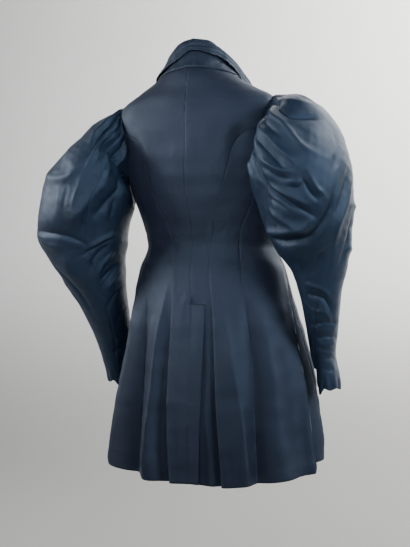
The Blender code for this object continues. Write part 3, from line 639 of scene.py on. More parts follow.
def shell(name, grid, away, extras=(), slot="body_cloth", nodes=(), thick=SHELL):
    """One piece of cloth. extras are strips that go on from an edge: rows they cover, their grid."""
    rows, cols = grid.shape[:2]
    points = [grid.reshape(-1, 3)]
    uvs = [flat_uv(grid).reshape(-1, 2)]
    index = np.arange(rows * cols).reshape(rows, cols)
    quads = [np.stack([index[:-1, :-1], index[1:, :-1], index[1:, 1:], index[:-1, 1:]], -1).reshape(-1, 4)]
    total = area_of(grid)
    count = rows * cols
    widths = [float(np.linalg.norm(np.diff(grid, axis=1), axis=-1).sum(1).max())]
    for first, column, strip in extras:
        n, m = strip.shape[:2]
        column = column % cols
        own = count + np.arange(n * m).reshape(n, m)
        joined = np.concatenate([index[first : first + n, column : column + 1], own], 1)
        base = uvs[0].reshape(rows, cols, 2)[first : first + n, column]
        joined_points = np.concatenate([grid[first : first + n, column : column + 1], strip], 1)
        run = np.cumsum(np.linalg.norm(np.diff(joined_points, axis=1), axis=-1), axis=1)
        sign = -1 if column == 0 else 1
        more = np.stack([base[:, None, 0] + sign * run, base[:, None, 1] + 0 * run], -1)
        face = np.stack([joined[:-1, :-1], joined[1:, :-1], joined[1:, 1:], joined[:-1, 1:]], -1).reshape(-1, 4)
        if column == 0:
            face = face[:, ::-1]
        points.append(strip.reshape(-1, 3))
        uvs.append(more.reshape(-1, 2))
        quads.append(face)
        total += area_of(joined_points)
        widths.append(float(run[:, -1].max()))
        count += n * m
    points, uvs, quads = np.concatenate(points), np.concatenate(uvs), np.concatenate(quads)
    a, b, c = (points[quads[: (rows - 1) * (cols - 1), k]] for k in (0, 1, 3))
    turned = np.cross(b - a, c - a)
    aim = away[:-1, :-1].reshape(-1, 3)
    if (turned * aim).sum() < 0:
        quads = quads[:, ::-1]
    mesh = bpy.data.meshes.new(name)
    mesh.vertices.add(len(points))
    mesh.vertices.foreach_set("co", points.astype(np.float32).ravel())
    mesh.loops.add(quads.size)
    mesh.loops.foreach_set("vertex_index", quads.astype(np.int32).ravel())
    mesh.polygons.add(len(quads))
    mesh.polygons.foreach_set("loop_start", np.arange(0, quads.size, 4, dtype=np.int32))
    mesh.polygons.foreach_set("loop_total", np.full(len(quads), 4, np.int32))
    mesh.update(calc_edges=True)
    mesh.validate()
    layer = mesh.uv_layers.new(name="cloth")
    layer.data.foreach_set("uv", uvs[quads.ravel()].astype(np.float32).ravel())
    mesh.shade_smooth()
    made = bpy.data.objects.new(name, mesh)
    COLLECTION.objects.link(made)
    wall = made.modifiers.new("wall", "SOLIDIFY")
    wall.thickness = thick
    wall.offset = 0.0
    wall.use_rim = True
    wall.use_quality_normals = True
    made.data.materials.append(CLOTHS[slot])
    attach(made, "root")
    if nodes:
        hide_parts(*nodes)
    tall = float(np.linalg.norm(np.diff(grid, axis=0), axis=-1).sum(0).max())
    return made


# ------------------------------------------------------------ cloth finishes
def cloth_material(name, dark, light, rough, wale, sheen=0.25, seed=0.0):
    """Closely woven cloth: fine ribs along the piece, a little slub, colour wandering, a soft sheen."""
    made = bpy.data.materials.new(name)
    made.use_nodes = True
    tree = made.node_tree
    nodes, links = tree.nodes, tree.links
    shader = nodes["Principled BSDF"]
    place = nodes.new("ShaderNodeTexCoord")
    where = nodes.new("ShaderNodeMapping")
    where.inputs["Location"].default_value = (seed, 0.3 * seed, 0.7 * seed)
    links.new(place.outputs["Object"], where.inputs["Vector"])

    def noise(scale, detail, rough_=0.55, vector=None, stretch=None):
        made_ = nodes.new("ShaderNodeTexNoise")
        made_.inputs["Scale"].default_value = scale
        made_.inputs["Detail"].default_value = detail
        made_.inputs["Roughness"].default_value = rough_
        source = where.outputs["Vector"] if vector is None else vector
        if stretch is not None:
            squeeze = nodes.new("ShaderNodeMapping")
            squeeze.inputs["Scale"].default_value = stretch
            links.new(source, squeeze.inputs["Vector"])
            source = squeeze.outputs["Vector"]
        links.new(source, made_.inputs["Vector"])
        return made_.outputs["Fac"]

    def ramp(source, low, high, a, b):
        made_ = nodes.new("ShaderNodeMapRange")
        made_.inputs["From Min"].default_value = low
        made_.inputs["From Max"].default_value = high
        made_.inputs["To Min"].default_value = a
        made_.inputs["To Max"].default_value = b
        links.new(source, made_.inputs["Value"])
        return made_.outputs["Result"]

    uv = place.outputs["UV"]
    broad = noise(9.0, 4.0)
    slub = noise(60.0, 3.0, 0.6, uv, (14.0, 0.8, 1.0))
    weft = noise(60.0, 3.0, 0.6, uv, (0.8, 14.0, 1.0))
    wear = noise(35.0, 6.0, 0.7)
    colour = nodes.new("ShaderNodeMix")
    colour.data_type = "RGBA"
    colour.inputs["A"].default_value = (*dark, 1)
    colour.inputs["B"].default_value = (*light, 1)
    total = nodes.new("ShaderNodeMath")
    total.operation = "ADD"
    links.new(ramp(broad, 0.3, 0.7, 0.0, 0.6), total.inputs[0])
    links.new(ramp(slub, 0.3, 0.7, -0.18, 0.22), total.inputs[1])
    more = nodes.new("ShaderNodeMath")
    more.operation = "ADD"
    more.use_clamp = True
    links.new(total.outputs[0], more.inputs[0])
    links.new(ramp(weft, 0.3, 0.7, -0.12, 0.22), more.inputs[1])
    links.new(more.outputs[0], colour.inputs["Factor"])
    links.new(colour.outputs["Result"], shader.inputs["Base Color"])
    links.new(ramp(wear, 0.3, 0.72, rough - 0.05, rough + 0.09), shader.inputs["Roughness"])
    shader.inputs["Metallic"].default_value = 0.0
    shader.inputs["Specular IOR Level"].default_value = 0.42
    shader.inputs["Specular Tint"].default_value = (0.52, 0.73, 1.0, 1)
    shader.inputs["Sheen Weight"].default_value = sheen
    shader.inputs["Sheen Roughness"].default_value = 0.42
    shader.inputs["Sheen Tint"].default_value = (0.45, 0.62, 0.90, 1)

    def wave(direction, period, distort):
        made_ = nodes.new("ShaderNodeTexWave")
        made_.bands_direction = direction
        made_.inputs["Scale"].default_value = 0.314 / period
        made_.inputs["Distortion"].default_value = distort
        made_.inputs["Detail"].default_value = 1.0
        links.new(uv, made_.inputs["Vector"])
        return made_.outputs["Fac"]

    rib, cross = wave("Y", wale, 1.4), wave("X", wale * 0.72, 1.0)
    weave = nodes.new("ShaderNodeMath")
    weave.operation = "ADD"
    links.new(rib, weave.inputs[0])
    links.new(cross, weave.inputs[1])
    lay = nodes.new("ShaderNodeMath")
    lay.operation = "MULTIPLY_ADD"
    links.new(weft, lay.inputs[0])
    lay.inputs[1].default_value = 2.2
    links.new(weave.outputs[0], lay.inputs[2])
    bump = nodes.new("ShaderNodeBump")
    bump.inputs["Strength"].default_value = 0.32
    bump.inputs["Distance"].default_value = 0.00028
    links.new(lay.outputs[0], bump.inputs["Height"])
    soft = nodes.new("ShaderNodeBump")
    soft.inputs["Strength"].default_value = 0.5
    soft.inputs["Distance"].default_value = 0.0012
    links.new(noise(75.0, 4.0), soft.inputs["Height"])
    links.new(bump.outputs["Normal"], soft.inputs["Normal"])
    links.new(soft.outputs["Normal"], shader.inputs["Normal"])
    return made


CLOTHS = {
    "body_cloth": cloth_material("body_cloth_look", (0.0086, 0.0106, 0.0204), (0.0149, 0.0180, 0.0334), 0.50, 0.0011, 0.004, 0.0),
    "sleeve_cloth": cloth_material("sleeve_cloth_look", (0.0068, 0.0130, 0.0262), (0.0126, 0.0222, 0.0430), 0.42, 0.0011, 0.004, 4.0),
    "collar_cloth": cloth_material("collar_cloth_look", (0.0100, 0.0145, 0.0250), (0.0175, 0.0240, 0.0400), 0.50, 0.0011, 0.004, 9.0),
    "button_cloth": cloth_material("button_cloth_look", (0.0090, 0.0125, 0.0210), (0.0170, 0.0225, 0.0340), 0.50, 0.0007, 0.004, 2.0),
}
THREAD = bpy.data.materials.new("thread_look")
THREAD.use_nodes = True
_shader = THREAD.node_tree.nodes["Principled BSDF"]
_noise = THREAD.node_tree.nodes.new("ShaderNodeTexNoise")
_noise.inputs["Scale"].default_value = 900.0
_mix = THREAD.node_tree.nodes.new("ShaderNodeMix")
_mix.data_type = "RGBA"
_mix.inputs["A"].default_value = (0.006, 0.008, 0.014, 1)
_mix.inputs["B"].default_value = (0.020, 0.025, 0.036, 1)
THREAD.node_tree.links.new(_noise.outputs["Fac"], _mix.inputs["Factor"])
THREAD.node_tree.links.new(_mix.outputs["Result"], _shader.inputs["Base Color"])
_shader.inputs["Roughness"].default_value = 0.5


def stitches(name, line, up, length=0.0030, gap=0.0010, radius=0.00028):
    """A row of stitches lying along a line of points on the cloth."""
    run = np.concatenate([[0], np.cumsum(np.linalg.norm(np.diff(line, axis=0), axis=1))])
    points, faces = [], []
    at = 0.0005
    while at + length < run[-1]:
        spots = np.stack([np.interp(np.linspace(at, at + length, 6), run, line[:, i]) for i in range(3)], -1)
        lift = np.stack([np.interp(np.linspace(at, at + length, 6), run, up[:, i]) for i in range(3)], -1)
        lift /= np.linalg.norm(lift, axis=-1, keepdims=True)
        rise = np.array([-0.6, 0.5, 1.0, 1.0, 0.5, -0.6])[:, None] * radius
        along = np.gradient(spots, axis=0)
        along /= np.linalg.norm(along, axis=-1, keepdims=True)
        side = np.cross(lift, along)
        start = len(points)
        for k in range(6):
            for j in range(6):
                a = math.pi * j / 3
                points.append(spots[k] + rise[k] * lift[k] + radius * (math.cos(a) * side[k] + math.sin(a) * lift[k]))
        for k in range(5):
            for j in range(6):
                n = (j + 1) % 6
                faces.append((start + 6 * k + j, start + 6 * k + n, start + 6 * k + 6 + n, start + 6 * k + 6 + j))
        faces.append(tuple(start + j for j in range(5, -1, -1)))
        faces.append(tuple(start + 30 + j for j in range(6)))
        at += length + gap
    mesh = bpy.data.meshes.new(name)
    mesh.from_pydata([tuple(map(float, p)) for p in points], [], faces)
    mesh.shade_smooth()
    made = bpy.data.objects.new(name, mesh)
    COLLECTION.objects.link(made)
    made.data.materials.append(THREAD)
    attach(made, "root")
    return made


# ------------------------------------------------------------ creases of the body
# A row: lift (+) or sink (-), its width on either side, sharpness of its crest,
# how much it widens along its length, the share of its length it takes to start
# and to end, and its line, as places: angle from the middle of the back, height.
BODY_CREASES = [
    # soft pulls from the right armhole down the side back
    (-0.0022, 0.010, 0.014, 1.8, 0.5, 0.3, 0.6, [(-60, -0.10), (-46, -0.155), (-38, -0.21)]),
    (0.0020, 0.009, 0.012, 1.8, 0.4, 0.3, 0.6, [(-55, -0.085), (-41, -0.14), (-33, -0.20)]),
    (-0.0014, 0.010, 0.010, 1.8, 0.4, 0.4, 0.6, [(-46, -0.085), (-33, -0.13), (-26, -0.19)]),
    (-0.0020, 0.012, 0.014, 1.8, 0.4, 0.3, 0.6, [(60, -0.11), (50, -0.16), (45, -0.23)]),
    (0.0016, 0.010, 0.012, 1.8, 0.4, 0.3, 0.6, [(54, -0.10), (44, -0.15), (40, -0.20)]),
    # upright draws across the upper back
    (-0.0010, 0.007, 0.007, 1.8, 0.5, 0.4, 0.5, [(26, -0.10), (25, -0.19)]),
    (-0.0009, 0.006, 0.006, 1.8, 0.5, 0.4, 0.5, [(19, -0.12), (19, -0.22)]),
    (-0.0009, 0.007, 0.007, 1.8, 0.5, 0.4, 0.5, [(-14, -0.11), (-13, -0.20)]),
    # little draws across the waist
    (-0.0010, 0.005, 0.007, 1.8, 0.0, 0.4, 0.4, [(10, -0.338), (24, -0.334)]),
    (-0.0009, 0.005, 0.007, 1.8, 0.0, 0.4, 0.4, [(0, -0.350), (-14, -0.348)]),
    (-0.0011, 0.005, 0.007, 1.8, 0.0, 0.4, 0.4, [(-20, -0.334), (-38, -0.326)]),
    (-0.0012, 0.005, 0.008, 1.8, 0.0, 0.4, 0.4, [(34, -0.338), (54, -0.330)]),
    (-0.0012, 0.006, 0.008, 1.8, 0.0, 0.4, 0.4, [(-64, -0.325), (-92, -0.318)]),
    (-0.0012, 0.006, 0.008, 1.8, 0.0, 0.4, 0.4, [(64, -0.330), (96, -0.318)]),
    (-0.0012, 0.006, 0.008, 1.8, 0.0, 0.4, 0.4, [(112, -0.330), (140, -0.322)]),
    (-0.0012, 0.006, 0.008, 1.8, 0.0, 0.4, 0.4, [(-112, -0.334), (-142, -0.325)]),
    # puckers above the vent's bar
    (-0.0007, 0.0035, 0.005, 1.6, 0.2, 0.3, 0.5, [(7.5, -0.448), (4.0, -0.470)]),
    (-0.0016, 0.0026, 0.0026, 1.6, 0.0, 0.05, 0.05, [(8.6, -0.4750), (-0.5, -0.4750)]),
    (0.0007, 0.0035, 0.005, 1.6, 0.2, 0.3, 0.5, [(9.5, -0.444), (6.5, -0.470)]),
    (-0.0008, 0.0035, 0.005, 1.6, 0.2, 0.3, 0.5, [(12.0, -0.446), (9.0, -0.472)]),
    (-0.0012, 0.004, 0.005, 1.6, 0.2, 0.2, 0.5, [(14.5, -0.455), (12.5, -0.484)]),
    (-0.0012, 0.004, 0.004, 1.6, 0.0, 0.2, 0.4, [(1.5, -0.476), (0.5, -0.510)]),
    (-0.0010, 0.004, 0.004, 1.6, 0.0, 0.2, 0.4, [(6.5, -0.478), (5.5, -0.520)]),
    # upright folds of the skirt, sharper than the broad ones
    (0.0110, 0.0110, 0.0066, 1.25, 0.5, 0.35, 0.15, [(30.5, -0.43), (31.5, -0.56), (30.2, -0.70), (30.5, -0.842)]),
    (-0.0105, 0.0090, 0.0120, 1.35, 0.4, 0.35, 0.1, [(52.5, -0.45), (48.5, -0.60), (45.0, -0.72), (43.5, -0.842)]),
    (0.0082, 0.0110, 0.0100, 1.3, 0.4, 0.35, 0.1, [(66.0, -0.41), (61.0, -0.60), (61.0, -0.72), (62.0, -0.83)]),
    (-0.0072, 0.0090, 0.0126, 1.5, 0.5, 0.35, 0.2, [(80.0, -0.42), (81.0, -0.60), (84.0, -0.83)]),
    (0.0065, 0.0108, 0.0108, 1.4, 0.5, 0.35, 0.2, [(98.0, -0.43), (97.0, -0.62), (100.0, -0.83)]),
    (-0.0072, 0.0108, 0.0126, 1.5, 0.5, 0.35, 0.2, [(116.0, -0.42), (119.0, -0.62), (117.0, -0.82)]),
    (0.0065, 0.0108, 0.0126, 1.4, 0.5, 0.35, 0.2, [(134.0, -0.41), (138.0, -0.60), (137.0, -0.82)]),
    (-0.0051, 0.0108, 0.0126, 1.5, 0.5, 0.35, 0.2, [(153.0, -0.44), (159.0, -0.62), (158.0, -0.82)]),
    (0.0078, 0.0110, 0.0070, 1.3, 0.5, 0.4, 0.15, [(-29.0, -0.47), (-34.5, -0.60), (-40.0, -0.74), (-41.0, -0.84)]),
    (-0.0076, 0.0080, 0.0110, 1.35, 0.4, 0.35, 0.1, [(-46.0, -0.44), (-48.5, -0.60), (-47.0, -0.72), (-46.5, -0.84)]),
    (0.0038, 0.0126, 0.0126, 1.7, 0.5, 0.4, 0.3, [(-60.0, -0.45), (-60.0, -0.62), (-61.0, -0.83)]),
    (-0.0130, 0.0090, 0.0108, 1.3, 0.3, 0.35, 0.1, [(-90.0, -0.41), (-88.0, -0.52), (-85.0, -0.66), (-84.5, -0.83)]),
    (0.0101, 0.0063, 0.0081, 1.3, 0.3, 0.35, 0.1, [(-83.0, -0.40), (-81.0, -0.50), (-77.5, -0.66), (-77.5, -0.83)]),
    (0.0065, 0.0108, 0.0108, 1.4, 0.5, 0.35, 0.2, [(-103.0, -0.42), (-99.0, -0.62), (-98.0, -0.82)]),
    (-0.0072, 0.0108, 0.0126, 1.5, 0.5, 0.35, 0.2, [(-119.0, -0.42), (-120.0, -0.62), (-117.0, -0.82)]),
    (0.0065, 0.0108, 0.0126, 1.4, 0.5, 0.35, 0.2, [(-136.0, -0.41), (-140.0, -0.60), (-138.0, -0.82)]),
    (-0.0051, 0.0108, 0.0126, 1.5, 0.5, 0.35, 0.2, [(-155.0, -0.44), (-158.0, -0.62), (-159.0, -0.82)]),
    # the hem's turning
    (-0.0006, 0.0016, 0.0016, 2.0, 0.0, 0.02, 0.02, [(-178.0, -0.782), (-120.0, -0.784), (-60.0, -0.800), (-15.0, -0.810)]),
    (-0.0006, 0.0016, 0.0016, 2.0, 0.0, 0.02, 0.02, [(-8.0, -0.810), (60.0, -0.800), (120.0, -0.786), (178.0, -0.782)]),
]


def body_place(line):
    phi, z = line[:, 0], line[:, 1]
    side_out = np.where(
        phi - TURN_AT(z) >= 0, relief("left", phi - TURN_AT(z), z), relief("right", TURN_AT(z) - phi, z)
    )
    normal = outward(phi, z)
    return body(phi, z) + side_out[:, None] * normal, normal


def seam_mark(u, width, edges):
    """The cloth sinks a little along a seam, and swells beside it."""
    out = 0.0
    for edge in edges:
        d = (u if edge == "l" else 1 - u) * width
        out = out - 0.0004 * np.exp(-((d / 0.0015) ** 2)) + 0.0001 * np.exp(-(((d - 0.006) / 0.004) ** 2))
    return out


def puckers(points, d, seed):
    return 0.00025 * ripple(points, 0.012, seed) * np.exp(-((d / 0.012) ** 2))


def finish_body(side, places, lift, pleat, u, edges, seed, marks=None):
    """A body piece's grid and normals, with its seams' marks, creases and unevenness."""
    base = place_on_body(side, places, lift, pleat)
    sign = 1.0 if side == "left" else -1.0
    phi, z = sign * places[..., 0] + TURN_AT(places[..., 1]), places[..., 1]
    normal = outward(phi, z)
    width = np.linalg.norm(np.diff(base, axis=1), axis=-1).sum(1)[:, None]
    out = seam_mark(u[None, :], width, edges)
    d = np.minimum(u[None, :] * width if "l" in edges else 1e9, (1 - u[None, :]) * width if "r" in edges else 1e9)
    out = out + puckers(base, d, seed)
    out = out + creases(base, normal, BODY_CREASES, body_place)
    out = out + 0.0007 * ripple(base, 0.055, 5) + 0.0009 * ripple(base, 0.12, 6) * ease((-0.05 - z) / 0.1)
    out = out + 0.0016 * ripple(base * (1, 1, 0.25), 0.05, 8) * grow(z, -0.40)
    return base + out[..., None] * normal, normal


def tangent_in(grid, column):
    step = grid[:, 1] - grid[:, 0] if column == 0 else grid[:, -2] - grid[:, -1]
    step = step.copy()
    step[:, 2] = 0
    return step / np.maximum(np.linalg.norm(step, axis=-1, keepdims=True), 1e-9)


def turned_under(grid, normal, column, share, first, radius=0.0030, run=0.016):
    """The folded edge of a pleat: it rolls over and runs back underneath."""
    edge, inward = grid[first:, column], tangent_in(grid, column)[first:]
    up = normal[first:, column].copy()
    up[:, 2] = 0
    up /= np.linalg.norm(up, axis=-1, keepdims=True)
    k = np.maximum(share[first:], 0.02)[:, None] ** 0.7
    columns_ = []
    for t in np.linspace(0, math.pi, 8)[1:]:
        columns_.append(edge - inward * radius * k * math.sin(t) - up * radius * k * (1 - math.cos(t)))
    for more in (0.25, 0.5, 0.75, 1.0):
        columns_.append(edge - up * 2 * radius * k + inward * run * k * more)
    return np.stack(columns_, 1)


def run_under(grid, normal, column, share, first, run=0.020, sink=0.0015):
    """The cloth that goes on underneath a pleat's folded edge."""
    edge, inward = grid[first:, column], tangent_in(grid, column)[first:]
    up = normal[first:, column].copy()
    up[:, 2] = 0
    up /= np.linalg.norm(up, axis=-1, keepdims=True)
    k = np.maximum(share[first:], 0.02)[:, None] ** 0.7
    return np.stack([edge - inward * run * k * t - up * sink * k * t for t in np.linspace(0, 1, 6)[1:]], 1)


# ------------------------------------------------------------ the back
def make_back(side):
    u = across(19)
    middle = centre_line(SHOULDER_ROWS * SHOULDER_STEPS, 5 * ARM_STEPS)
    left = np.stack([0 * middle, middle], -1)
    long_seam = SEAM1[side]
    right = np.concatenate([SHOULDER, arc(spread(BACK_ARC, ARM_STEPS))[1:], long_seam[1:]])
    down = shares(SHOULDER_ROWS, 5)
    places = coons(left, right, neck_between(0.0, 90.0), hem_between(left[-1], right[-1]), u, down)
    phi, z = places[..., 0], places[..., 1]
    edge = Smooth([(float(h), float(a)) for a, h in long_seam])(z)
    pleat = pleat_of_back(side, phi, z, edge)
    lap_z = ease((VENT_TOP + 0.014 - z) / 0.014)
    lap_phi = ease(1 - (phi - 10.0) / 8.0)
    deep = ease((VENT_TOP - 0.01 - z) / 0.10)
    lift = (LAP_LIFT if side == "left" else -(0.0011 + 0.0020 * deep)) * lap_z * lap_phi
    open_row = int(np.argmax(left[:, 1] <= VENT_TOP))
    grid, normal = finish_body(side, places, lift, pleat, u, "lr", 31 if side == "left" else 32)
    share = grow(z[:, -1], PLEAT_START)
    first = int(np.argmax(share > 0.004))
    extras = []
    if side == "left":
        extras.append((first, -1, turned_under(grid, normal, -1, share, first)))
    else:
        extras.append((first, -1, run_under(grid, normal, -1, share, first)))
    if side == "left":
        zs = left[open_row:, 1]
        below = (zs[0] - zs) / (zs[0] - zs[-1])
        width = VENT_WIDTH_TOP + (VENT_WIDTH_HEM - VENT_WIDTH_TOP) * below
        radius = body(0.0, zs)[..., 1] - (BACK(zs) + FRONT(zs)) / 2
        angle = np.degrees(width / radius)
        strips = []
        for share_ in np.linspace(0, 1, 9)[1:]:
            flat = np.stack([-angle * share_, zs], -1)
            wave = 0.0007 * np.sin(zs * 37.0 + 0.6) * share_**2 + 0.0012 * ease((-0.60 - zs) / 0.2) * share_**3
            wave = wave * ease((VENT_TOP - zs) / 0.05)
            sits = 0.0009 + (LAP_LIFT - 0.0009) * ease((VENT_TOP - zs) / 0.05)
            points = place_on_body("left", flat, LAP_LIFT * (1 - share_) ** 2 + sits * (1 - (1 - share_) ** 2) + wave)
            up = outward(-angle * share_ + TURN_AT(zs), zs)
            points = points + creases(points, up, BODY_CREASES[-1:], body_place)[..., None] * up
            strips.append(points)
        # the lap leaves the middle of the back without a step
        start = grid[open_row:, 0] - place_on_body("left", np.stack([0 * zs, zs], -1), LAP_LIFT + 0 * zs)
        strips = [s + start * (1 - share_) ** 2 for s, share_ in zip(strips, np.linspace(0, 1, 9)[1:])]
        extras.append((open_row, 0, np.stack(strips, 1)))
    made = shell("back_%s_cloth" % side, grid, normal, extras, "body_cloth", ["back_" + side])
    return made, grid, normal, places


# ------------------------------------------------------------ side back, underarm, front
def make_side_back(side):
    u = across(24)
    down = shares(0, 0)
    places = coons(
        SEAM1[side], SEAM2, through(arc(spread(SIDE_BACK_ARC, 6))), hem_between(SEAM1[side][-1], SEAM2[-1]), u, down
    )
    z = places[..., 1]
    p = grow(z, PLEAT_START)
    _, near, on = PLEATS[side]
    pleat = p * Smooth([(0.0, near), (0.055, near), (0.30, on), (0.54, 0.0), (1.0, 0.0)])(u)[None, :]
    grid, normal = finish_body(side, places, 0 * z, pleat, u, "lr", 33 if side == "left" else 34)
    share = p[:, 0]
    first = int(np.argmax(share > 0.004))
    strip = turned_under if side == "right" else run_under
    extras = [(first, 0, strip(grid, normal, 0, share, first))]
    return shell("side_back_%s_cloth" % side, grid, normal, extras, "body_cloth", ["side_back_" + side])


def make_underarm(side):
    u = across(34)
    places = coons(
        SEAM2, SEAM3, through(arc(spread(UNDERARM_ARC, 5))), hem_between(SEAM2[-1], SEAM3[-1]), u, shares(0, 0)
    )
    grid, normal = finish_body(side, places, 0 * places[..., 1], None, u, "lr", 35 if side == "left" else 36)
    return shell("underarm_%s_cloth" % side, grid, normal, (), "body_cloth", ["underarm_" + side])


def front_edge(steps):
    """The front's free edge: down the roll line, then down past the centre front."""
    ends = ROLL_FRONT + [(180.0 + float(lap(BREAK_Z)), BREAK_Z)]
    t = [0.0, 0.20, 0.55, 0.84, 1.0]
    phi = Smooth(list(zip(t, [e[0] for e in ends])))
    z = Smooth(list(zip(t, [e[1] for e in ends])))
    u = np.linspace(0, 1, steps + 1)
    above = np.stack([phi(u), z(u)], -1)
    coarse = np.interp(COARSE_ROWS, ROWS[::-1], SEAM3[::-1, 1])[1:]
    low = np.minimum(coarse, BREAK_Z - 0.012 - 0.010 * np.arange(len(coarse)))
    low = spread(np.concatenate([[BREAK_Z], low]), ROW_STEPS)[1:]
    last = low[-1]
    low = np.where(low < WAIST_Z, WAIST_Z + (low - WAIST_Z) * (HEM_AT(180.0) - WAIST_Z) / (last - WAIST_Z), low)
    return np.concatenate([above, np.stack([180.0 + lap(low), low], -1)])


def make_front(side):
    u = across(52)
    arm = arc(spread(FRONT_ARC, ARM_STEPS))[::-1]
    outer = np.concatenate([SHOULDER, arm[1:], SEAM3[1:]])
    inner = front_edge(SHOULDER_ROWS * SHOULDER_STEPS + (len(FRONT_ARC) - 1) * ARM_STEPS)
    places = coons(
        outer,
        inner,
        neck_between(90.0, 118.0),
        hem_between(outer[-1], inner[-1]),
        u,
        shares(SHOULDER_ROWS, len(FRONT_ARC) - 1),
    )
    phi, z = places[..., 0], places[..., 1]
    near = ease((phi - 152.0) / 16.0) * ease((-0.165 - z) / 0.030)
    lift = (1 if side == "right" else -1) * LAP_LIFT * near
    grid, normal = finish_body(side, places, lift, None, u, "l", 37 if side == "left" else 38)
    return shell("front_%s_cloth" % side, grid, normal, (), "body_cloth", ["front_" + side])


